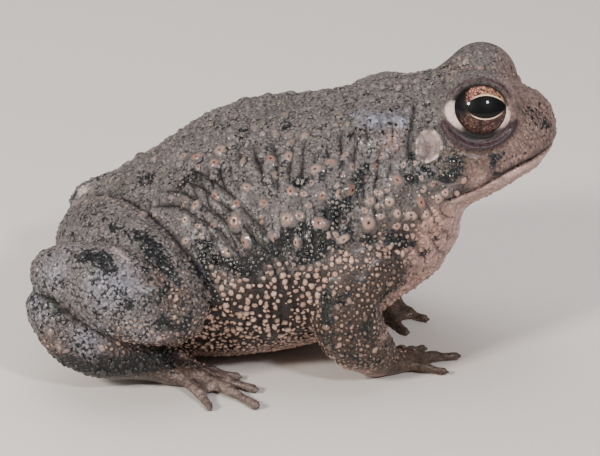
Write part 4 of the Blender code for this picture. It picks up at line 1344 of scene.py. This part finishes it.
# %% The warts' material
# Horny, glandular skin over the same moist ground: a little harder and glossier on its crown
wart_look, tree, shader = new_look("glandular_warts")
colour, rough, raised, noise = pigmented(tree)
own = {name: value_of(tree, name) for name in ("crown", "tone", "ripe", "pore", "slate", "ink", "pale")}
crown = ease(tree, own["crown"], 0.05, 0.62)
cream_pink = mix(tree, own["tone"], "#bb9b89", "#96725f")
sooty_tint = ramp(tree, own["ink"], 0.45, 0.85, 0.0, 0.75)
cream_pink = mix(tree, sooty_tint, cream_pink, "#737870")
lively = ramp(tree, noise["mottle"], 0.3, 0.7, 0.75, 1.25)
cream_pink = scaled(tree, cream_pink, lively)
shown = calc(tree, "MULTIPLY", crown, own["pale"])
colour = mix(tree, shown, colour, cream_pink)
orange_ring = ease(tree, own["crown"], 0.40, 0.75)
orange_tone = ramp(tree, own["ripe"], 0.0, 1.0, 0.0, 0.55)
orange = calc(tree, "MULTIPLY", orange_ring, orange_tone)
colour = mix(tree, orange, colour, "#90604d")
colour = mix(tree, own["pore"], colour, "#1c1210")
relief = add(tree, "ShaderNodeBump", {"Strength": 0.4, "Distance": 0.06 * MM, "Height": noise["speck"]})
feed(tree, shader, {
    "Base Color": colour, "Roughness": rough, "Normal": relief.outputs["Normal"],
    "IOR": SKIN_IOR, "Coat Weight": 0.55, "Coat Roughness": 0.16,
})


# %% The tree that sets domes on points
def drawn(tree, seed, low=0.0, high=1.0):
    """A seeded draw for each point."""
    return add(
        tree, "FunctionNodeRandomValue", {2: low, 3: high, "Seed": seed}, data_type="FLOAT",
    ).outputs[1]


def named(tree, name, kind="FLOAT"):
    """A value kept on the points of a geometry."""
    return add(tree, "GeometryNodeInputNamedAttribute", {"Name": name}, data_type=kind).outputs[0]


def set_domes(tree, given, points, facing, radius, tone):
    """Ends a tree: tone and root are kept on each point, then a dome is set there and made real."""
    place = add(tree, "GeometryNodeInputPosition").outputs[0]
    for name, value, kind in (("tone", tone, "FLOAT"), ("root", place, "FLOAT_VECTOR")):
        inputs = {"Geometry": points, "Name": name, "Value": value}
        points = add(
            tree, "GeometryNodeStoreNamedAttribute", inputs, data_type=kind, domain="POINT",
        ).outputs[0]
    template = add(
        tree, "GeometryNodeObjectInfo", {"Object": given.outputs["Dome"]},
    ).outputs["Geometry"]
    high = calc(tree, "MULTIPLY", radius, given.outputs["Rise"])
    stretch = drawn(tree, 5, 0.80, 1.22)
    long = calc(tree, "MULTIPLY", radius, stretch)
    short = calc(tree, "DIVIDE", radius, stretch)
    size = vector(tree, long, short, high)
    spin = drawn(tree, 6, 0.0, 2 * math.pi)
    spun = add(tree, "FunctionNodeEulerToRotation", {0: vector(tree, 0.0, 0.0, spin)}).outputs[0]
    facing = add(
        tree, "FunctionNodeRotateRotation", {0: facing, 1: spun}, rotation_space="LOCAL",
    ).outputs[0]
    set_out = add(
        tree, "GeometryNodeInstanceOnPoints",
        {"Points": points, "Instance": template, "Rotation": facing, "Scale": size},
    )
    real = add(tree, "GeometryNodeRealizeInstances", {"Geometry": set_out.outputs[0]}).outputs[0]
    finished = add(
        tree, "GeometryNodeSetMaterial", {"Geometry": real, "Material": given.outputs["Material"]},
    ).outputs[0]
    add(tree, "NodeGroupOutput", {0: finished})


def new_tree(name, sockets):
    """A geometry tree with these named inputs; returns it, its group input and the inputs' identifiers."""
    tree = bpy.data.node_groups.new(name, "GeometryNodeTree")
    keys = {}
    for label, kind in sockets:
        keys[label] = tree.interface.new_socket(name=label, in_out="INPUT", socket_type=kind).identifier
    tree.interface.new_socket(name="Geometry", in_out="OUTPUT", socket_type="NodeSocketGeometry")
    return tree, add(tree, "NodeGroupInput"), keys


spread_tree, given, spread_keys = new_tree("granules_over_skin", (
    ("Skin", "NodeSocketGeometry"), ("Dome", "NodeSocketObject"), ("Where", "NodeSocketString"),
    ("Spacing", "NodeSocketFloat"),
    ("Smallest", "NodeSocketFloat"), ("Largest", "NodeSocketFloat"), ("Rise", "NodeSocketFloat"),
    ("Seed", "NodeSocketInt"),
    ("Material", "NodeSocketMaterial"),
))
allowed = named(spread_tree, given.outputs["Where"])
room = calc(spread_tree, "MULTIPLY", given.outputs["Spacing"], given.outputs["Spacing"])
most = calc(spread_tree, "DIVIDE", 3.0, room)
spread = add(spread_tree, "GeometryNodeDistributePointsOnFaces", {
    "Mesh": given.outputs["Skin"], "Distance Min": given.outputs["Spacing"], "Density Max": most,
    "Density Factor": allowed, "Seed": given.outputs["Seed"],
}, distribute_method="POISSON")
small = calc(spread_tree, "POWER", drawn(spread_tree, given.outputs["Seed"]), 1.6)
radius = ramp(spread_tree, small, 0.0, 1.0, given.outputs["Smallest"], given.outputs["Largest"])
tone_seed = calc(spread_tree, "ADD", given.outputs["Seed"], 7.0)
tone = drawn(spread_tree, tone_seed)
set_domes(spread_tree, given, spread.outputs["Points"], spread.outputs["Rotation"], radius, tone)

place_tree, given, place_keys = new_tree("warts_at_places", (
    ("Places", "NodeSocketGeometry"), ("Dome", "NodeSocketObject"), ("Rise", "NodeSocketFloat"),
    ("Material", "NodeSocketMaterial"),
))
facing = named(place_tree, "facing", "FLOAT_VECTOR")
turned_out = add(
    place_tree, "FunctionNodeAlignRotationToVector", {"Vector": facing}, axis="Z",
).outputs[0]
set_domes(
    place_tree, given, given.outputs["Places"], turned_out, named(place_tree, "radius"),
    named(place_tree, "tone"),
)
print("trees:", len(spread_tree.nodes), "and", len(place_tree.nodes), "nodes")

# %% [markdown]
# ## An unwrap for the domes
# Each dome piece gets a flat map, OFBake, for baking its colours. A map drawn for thousands of
# domes at once would muddle them, so each dome gets a patch of its own, 0.003 across, at its root's
# place on an unwrap of the body: the trunk as a sheet of length by angle, and each limb as a
# smaller sheet.

# %% Root places on the unwrap
# Sizes on the flat map, which is 1 by 1: a dome's patch, the trunk's sheet, and the limbs' sheets
# in two columns
PATCH, MARGIN = 0.003, 0.01
TRUNK_SHEET = (0.62, 0.98)
LIMBS_LEFT, LIMB_STEP, LIMB_SHEET = 0.66, (0.165, 0.14), (0.155, 0.13)
LIMB_SHEETS = [
    smooth_rows(path, 24)[:, :3] * (1.0, side, 1.0)
    for name, side in SIDES.items()
    for path in (THIGH[name], SHANK[name], TARSUS[name], FOOT_SOLE, UPPER_ARM, FOREARM, PALM)
]


def unwrap(places):
    """The place of each point of the skin on the flat map."""
    x, y, z = places.T
    middle = sum(trunk_span(x)) / 2
    around = np.arctan2(y, z - middle) / (2 * math.pi) + 0.5
    flat = np.stack([MARGIN + TRUNK_SHEET[0] * (x + 42) / 84, MARGIN + TRUNK_SHEET[1] * around], 1)
    far = gap_to(trunk_tree, places) > 1.0
    gaps = np.stack(
        [np.linalg.norm(places[far, None] - rows[None], axis=2).min(1) for rows in LIMB_SHEETS], 1,
    )
    owner = gaps.argmin(1)
    chosen = places[far]
    for sheet, rows in enumerate(LIMB_SHEETS):
        mine = owner == sheet
        if not mine.any():
            continue
        spots = chosen[mine]
        nearest = np.linalg.norm(spots[:, None] - rows[None], axis=2).argmin(1)
        along = (rows[-1] - rows[0]) / np.linalg.norm(rows[-1] - rows[0])
        across = np.cross(along, (0.0, 0.0, 1.0))
        gap = spots - rows[nearest]
        share = ((spots - rows[0]) @ along / np.linalg.norm(rows[-1] - rows[0]) + 0.4) / 2.2
        turn = np.arctan2(gap @ np.cross(across, along), gap @ across) / (2 * math.pi) + 0.5
        left = LIMBS_LEFT + LIMB_STEP[0] * (sheet % 2)
        low = MARGIN + LIMB_STEP[1] * (sheet // 2)
        index = np.flatnonzero(far)[mine]
        flat[index] = np.stack([left + LIMB_SHEET[0] * np.clip(share, 0, 1), low + LIMB_SHEET[1] * turn], 1)
    return flat


# %% Lay the domes
# How far noise moves the domes' points, in mm, so that none is quite round
DOME_BEND = 0.13


def lay(name, start_mesh, tree, keys, values):
    """Runs a tree on a mesh and returns the real domes as one plain piece."""
    piece = put(name, start_mesh)
    modifier = piece.modifiers.new("domes", "NODES")
    modifier.node_group = tree
    for label, value in values.items():
        modifier[keys[label]] = value
    made = settle(piece)
    root, local = (read(made.attributes[key].data, "vector") / MM for key in ("root", "local"))
    for key in ("root", "local"):
        made.attributes.remove(made.attributes[key])
    roots, index = np.unique(np.round(root, 4), axis=0, return_inverse=True)
    spot = unwrap(roots)[index.reshape(-1)] + local[:, :2] * PATCH / 2
    corner = read(made.loops, "vertex_index", 1, np.int64)[:, 0]
    bake_map = made.uv_layers.new(name="OFBake")
    bake_map.uv.foreach_set("vector", spot[corner].astype(np.float32).ravel())
    smooth(made)
    places = points_of(made)
    places = places + DOME_BEND * np.stack([grain(places, 0.75, seed, 1) for seed in (51, 52, 53)], 1)
    places[:, 2] = np.maximum(places[:, 2], 0.0)
    made.vertices.foreach_set("co", (places * MM).ravel())
    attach(piece, "root")
    print(name, "domes:", len(roots), "triangles:", sum(len(p.vertices) - 2 for p in made.polygons))
    return piece


# %% Where granules of each kind grow
height = trunk_height(points)
x, y, z = points.T
bare = np.zeros(len(points))
for side in SIDES.values():
    radius, share, _, _ = eye_share(points, side)
    bare = np.maximum(bare, (radius < 8) * fall(share, 1.55, 1.9))
    bare = np.maximum(bare, fall(on_oval(points, EARDRUM, side), 1.25, 1.4))
    bare = np.maximum(bare, 0.92 * fall(on_oval(points, PAROTOID, side), 0.7, 1.1))
    bare = np.maximum(bare, fall(off_place(points, NOSTRIL, side), 1.2, 1.8))
bare = np.maximum(bare, step(x, 22.5, 24.0) * fall(np.abs(above_mouth(points) + 0.5), 1.3, 2.0))
for row in wart_rows:
    close = np.flatnonzero(np.abs(x - row[0]) < 2)
    bare[close] = np.maximum(
        bare[close], np.linalg.norm(points[close] - row[:3], axis=1) < row[6] * 1.3,
    )
open_skin = (1 - bare) * fall(hollow, 0.05, 0.09) * fall(folds, 0.15, 0.35) * step(z, 0.35, 0.6)
trunk, snout = 1 - limb, step(x, 24.0, 30.0)
dark = step(marks["ink"], 0.55, 0.8)
pebbly = (
    trunk * fall(height + 0.1 * step(x, 5, 12), 0.52, 0.62) * fall(x + 0.5 * (24 - z), 20.5, 23.5)
    * (1 - dark)
)
belly = pebbly * fall(height, 0.16, 0.24) * step(height, 0.01, 0.05)
pebbly = pebbly * step(height, 0.16, 0.24)
sooty = (
    trunk * np.maximum(dark * step(height, 0.25, 0.3), 0.45 * fall(height, 0.50, 0.60))
    * fall(x, 21.0, 24.5)
)
rough_back = trunk * step(height, 0.52, 0.68) * (1 - 0.75 * snout)
high_back = trunk * step(height, 0.76, 0.84) * (1 - 0.9 * snout)
chin = trunk * step(x, 19.0, 23.0) * fall(above_mouth(points), -2.5, -1.0) * 0.35
limb_skin = limb * step(z, 2.2, 4.0)
grow = {
    "grow_flank": pebbly, "grow_belly": belly, "grow_soot": sooty, "grow_back": rough_back,
    "grow_high": high_back, "grow_limb": limb_skin, "grow_chin": chin,
}
pale = 0.95 - 0.72 * marks["slate"] - 0.85 * marks["ink"] - 0.35 * marks["salmon"] * (1 - limb)
arm, leg = limb * (x > 0), limb * (x < 0)
# Painted shade: the granules low on the hind leg are kept dark
pale -= 0.15 * arm + 0.55 * leg * fall(z, 7.0, 9.0)
knee = leg * step(z, 8.5, 10.5) * fall(z, 13.5, 17.0) * step(x, -29, -23)
pale = np.maximum(pale, 0.75 * knee * (1 - 0.8 * step(marks["ink"], 0.5, 0.8)))
pale += 0.75 * dark * trunk * step(grain(points, 1.5, 62, 1), -0.05, 0.25)
pale = np.maximum(pale, 0.7 * leg * near(points, PALE_LEG))
pale = np.clip(pale + 0.25 * grain(points, 1.2, 61, 2), 0.05, 1)
keep(skin.data, "pale", pale)
for name, value in grow.items():
    keep(skin.data, name, np.clip(value * open_skin, 0, 1))

# %% Granules over the skin
# Piece: where it grows, dome, spacing, smallest and largest radius in mm, rise
LAYERS = {
    "granules_of_flank": ("grow_flank", granule_dome, 0.94, 0.42, 0.74, 0.72),
    "granules_of_belly": ("grow_belly", granule_dome, 0.74, 0.32, 0.50, 0.72),
    "grit_of_flank": ("grow_soot", grit_dome, 0.62, 0.20, 0.52, 0.92),
    "grit_of_back": ("grow_back", grit_dome, 0.64, 0.16, 0.42, 0.80),
    "warts_of_back": ("grow_high", granule_dome, 1.8, 0.45, 1.10, 0.58),
    "granules_of_limbs": ("grow_limb", grit_dome, 0.72, 0.18, 0.46, 0.72),
    "warts_of_limbs": ("grow_limb", granule_dome, 1.9, 0.40, 0.78, 0.50),
    "granules_of_throat": ("grow_chin", grit_dome, 0.80, 0.18, 0.34, 0.5),
}
for seed, (name, (where, template, spacing, smallest, largest, rise)) in enumerate(LAYERS.items()):
    lay(name, skin.data, spread_tree, spread_keys, {
        "Dome": template, "Where": where, "Spacing": spacing * MM, "Smallest": smallest,
        "Largest": largest, "Rise": rise,
        "Seed": 11 + seed, "Material": wart_look,
    })
for name in grow:
    skin.data.attributes.remove(skin.data.attributes[name])

# %% Large warts at their places
places = bpy.data.meshes.new("wart_places")
places.from_pydata((wart_rows[:, :3] * MM).tolist(), [], [])
nearest = [int(np.argmin(((points - row[:3]) ** 2).sum(1))) for row in wart_rows]
shiny = wart_rows[:, 7] < 0
values = {name: marks[name][nearest] * (0.2 if name == "ink" else 1.0) for name in MARKS}
values["fold"] = values["fold"] * 0.2
values["moss"] = values["moss"] * 0.4
values["ink"][shiny] = 1.0
values["gloss"][shiny] = 1.0
values["tone"] = np.clip(wart_rows[:, 7], 0, 1)
values["ripe"] = values["tone"] ** 2 * 0.8 + 0.2
values["pale"] = np.where(shiny, 0.0, 0.72 - 0.30 * values["slate"])
values["radius"] = wart_rows[:, 6]
values["facing"] = wart_rows[:, 3:6]
for name, value in values.items():
    keep(places, name, value)
lay(
    "warts_of_flank", places, place_tree, place_keys,
    {"Dome": wart_dome, "Rise": 0.70, "Material": wart_look},
)
for template in (wart_dome, granule_dome, grit_dome):
    bpy.data.objects.remove(template)

# %% Hand the skin over
FLESH = ["head", "lower_jaw", "chest", "belly", "rump"]
for kind in ("eardrum", "parotoid", "upper_arm", "forearm", "hand", "thigh", "shank", "tarsus", "foot"):
    FLESH += [kind + "_right", kind + "_left"]
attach(skin, "root")
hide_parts(*FLESH)

# %% [markdown]
# ## Eyes
# A toad's pupil is a black lens lying on its side, rimmed with a thin line of gold. Above it the
# iris is copper and pink, below it brown with a dark net, and a dark bar runs down the middle. The ball
# keeps two values, the way forward and the way up from the gaze in millimetres, and the material
# draws on them, so the pupil stays where it is from every side. A clear coat stands for the cornea.

# %% Wet copper eyes
# Cornea: smooth and wet, IOR about 1.38, so a sharp point of light on a dark ground
# The pupil's middle, and how far its two arcs' centres and edges are from there, in mm
PUPIL_CENTRE = (0.82, 0.58)
PUPIL_ARC = (2.15, 3.88)
# The middle of the dark ring round the iris, forward and up of the gaze, in mm
LIMBUS_CENTRE = (0.28, 0.08)
CORNEA_IOR = 1.38
eye_look, tree, shader = new_look("wet_copper_eye")
ahead, above = (value_of(tree, name) for name in ("ahead", "above"))
across = calc(tree, "SUBTRACT", ahead, PUPIL_CENTRE[0])
upward = calc(tree, "SUBTRACT", above, PUPIL_CENTRE[1])
unsigned = calc(tree, "ABSOLUTE", upward)
shifted = calc(tree, "ADD", unsigned, PUPIL_ARC[0])
arm_of_lens = vector(tree, across, shifted)
reach = add(tree, "ShaderNodeVectorMath", {0: arm_of_lens}, operation="LENGTH").outputs["Value"]
lens = calc(tree, "SUBTRACT", reach, PUPIL_ARC[1])
from_middle = {0: vector(tree, ahead, above), 1: (*LIMBUS_CENTRE, 0.0)}
off_middle = add(tree, "ShaderNodeVectorMath", from_middle, operation="SUBTRACT").outputs[0]
from_gaze = add(tree, "ShaderNodeVectorMath", {0: off_middle}, operation="LENGTH").outputs["Value"]
place = add(tree, "ShaderNodeTexCoord").outputs["Object"]
threads = noise_of(tree, place, 0.55, 4.0, 0.7)
net = add(
    tree, "ShaderNodeTexVoronoi", {"Vector": place, "Scale": 1 / (0.48 * MM)},
    feature="DISTANCE_TO_EDGE",
).outputs["Distance"]
upper = ease(tree, upward, -0.4, 1.0)
iris = mix(tree, upper, "#664c45", "#b4806f")
fleck = ease(tree, threads, 0.45, 0.58, 0.0, 0.9)
iris = mix(tree, fleck, iris, "#2a1613")
mesh_lines = ramp(tree, net, 0.02, 0.20, 1.0, 0.0)
iris = mix(tree, mesh_lines, iris, "#2c1814")
bar_gap = calc(tree, "ABSOLUTE", calc(tree, "SUBTRACT", ahead, 0.05))
bar = ramp(tree, bar_gap, 0.08, 0.42, 0.8, 0.0)
below = ramp(tree, upward, -1.5, -2.0)
bar = calc(tree, "MULTIPLY", bar, below)
ragged = calc(tree, "MULTIPLY_ADD", threads, 1.2, ahead)
rear = ease(tree, ragged, -1.1, -1.9)
not_low = ease(tree, upward, -2.4, -0.7, 0.25, 1.0)
rear = calc(tree, "MULTIPLY", rear, not_low)
limbus = ease(tree, from_gaze, 3.50, 3.85)
glow = mix(tree, ramp(tree, ahead, -0.5, 2.0), iris, "#b98d5f")
in_gold = calc(tree, "MULTIPLY", upper, ramp(tree, threads, 0.56, 0.40, 0.0, 0.7))
iris = mix(tree, in_gold, iris, glow)
to_end = calc(tree, "ABSOLUTE", calc(tree, "SUBTRACT", across, 0.25))
fading = ease(tree, to_end, 1.6, 2.7, 0.95, 0.0)
gold = ease(tree, lens, 0.28, 0.13)
gold = calc(tree, "MULTIPLY", gold, fading)
pupil = ease(tree, lens, 0.06, -0.02)
for amount, code in (
    (bar, "#160c0b"), (rear, "#07060a"), (gold, "#dfbda4"), (pupil, "#030304"), (limbus, "#0a0707"),
):
    iris = mix(tree, amount, iris, code)
feed(tree, shader, {
    "Base Color": iris, "Roughness": 0.5, "IOR": CORNEA_IOR, "Specular IOR Level": 0.15,
    "Coat IOR": CORNEA_IOR, "Coat Weight": 0.5, "Coat Roughness": 0.03,
})
for name, side in SIDES.items():
    turn = frame_on(outward(EYE_GAZE, side))
    eye = mesh_from(
        "eyeball_" + name, [ball(outward(EYE_CENTRE, side), (EYE_RADIUS,) * 3, turn, 64, 47)],
    )
    local = (points_of(eye.data) - np.array(outward(EYE_CENTRE, side))) @ np.array(turn)
    keep(eye.data, "ahead", -side * local[:, 0])
    keep(eye.data, "above", local[:, 1])
    eye.data.materials.append(eye_look)
    smooth(eye.data)
    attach(eye, "root")
    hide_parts("eye_" + name)
print("eyes set")

# %% [markdown]
# ## Floor and light
# A plain pale floor and soft light, as in a studio. Two small bright lamps near the lens give the
# wet points of light in the eye and on the granules, and wide dim ones fill the shadows.

# %% Floor and light
# Half the floor's width, in metres
FLOOR_REACH = 3.0
corners = [(x * FLOOR_REACH, y * FLOOR_REACH, 0.0) for x, y in ((-1, -1), (1, -1), (1, 1), (-1, 1))]
floor_mesh = bpy.data.meshes.new("floor")
floor_mesh.from_pydata(corners, [], [(0, 1, 2, 3)])
floor = put("floor", floor_mesh)
floor_look, tree, shader = new_look("pale_floor")
feed(tree, shader, {"Base Color": linear("#cfc8c1"), "Roughness": 0.9})
floor_mesh.materials.append(floor_look)


def area_light(name, place, size, watts, colour):
    """A square soft light aimed at the middle of the toad."""
    data = bpy.data.lights.new(name, "AREA")
    data.size = size
    data.energy = watts
    data.color = linear(colour)[:3]
    lamp = put(name, data)
    lamp.location = place
    aim(lamp, Vector(place) - TARGET)
    return lamp


area_light("key", (-0.363, -0.418, 0.305), 0.09, 4.6, "#fffaf4")
area_light("second", (0.299, -0.452, 0.389), 0.08, 3.0, "#f8f9ff")
area_light("top", (-0.05, 0.10, 0.70), 0.60, 3.0, "#f4f6ff").visible_glossy = False
area_light("rim", (-0.30, 0.50, 0.45), 0.50, 2.0, "#ffffff").visible_glossy = False
world = bpy.data.worlds.new("studio")
bpy.context.scene.world = world
world.use_nodes = True
feed(
    world.node_tree, world.node_tree.nodes["Background"],
    {"Color": linear("#e9e6e2"), "Strength": 0.34},
)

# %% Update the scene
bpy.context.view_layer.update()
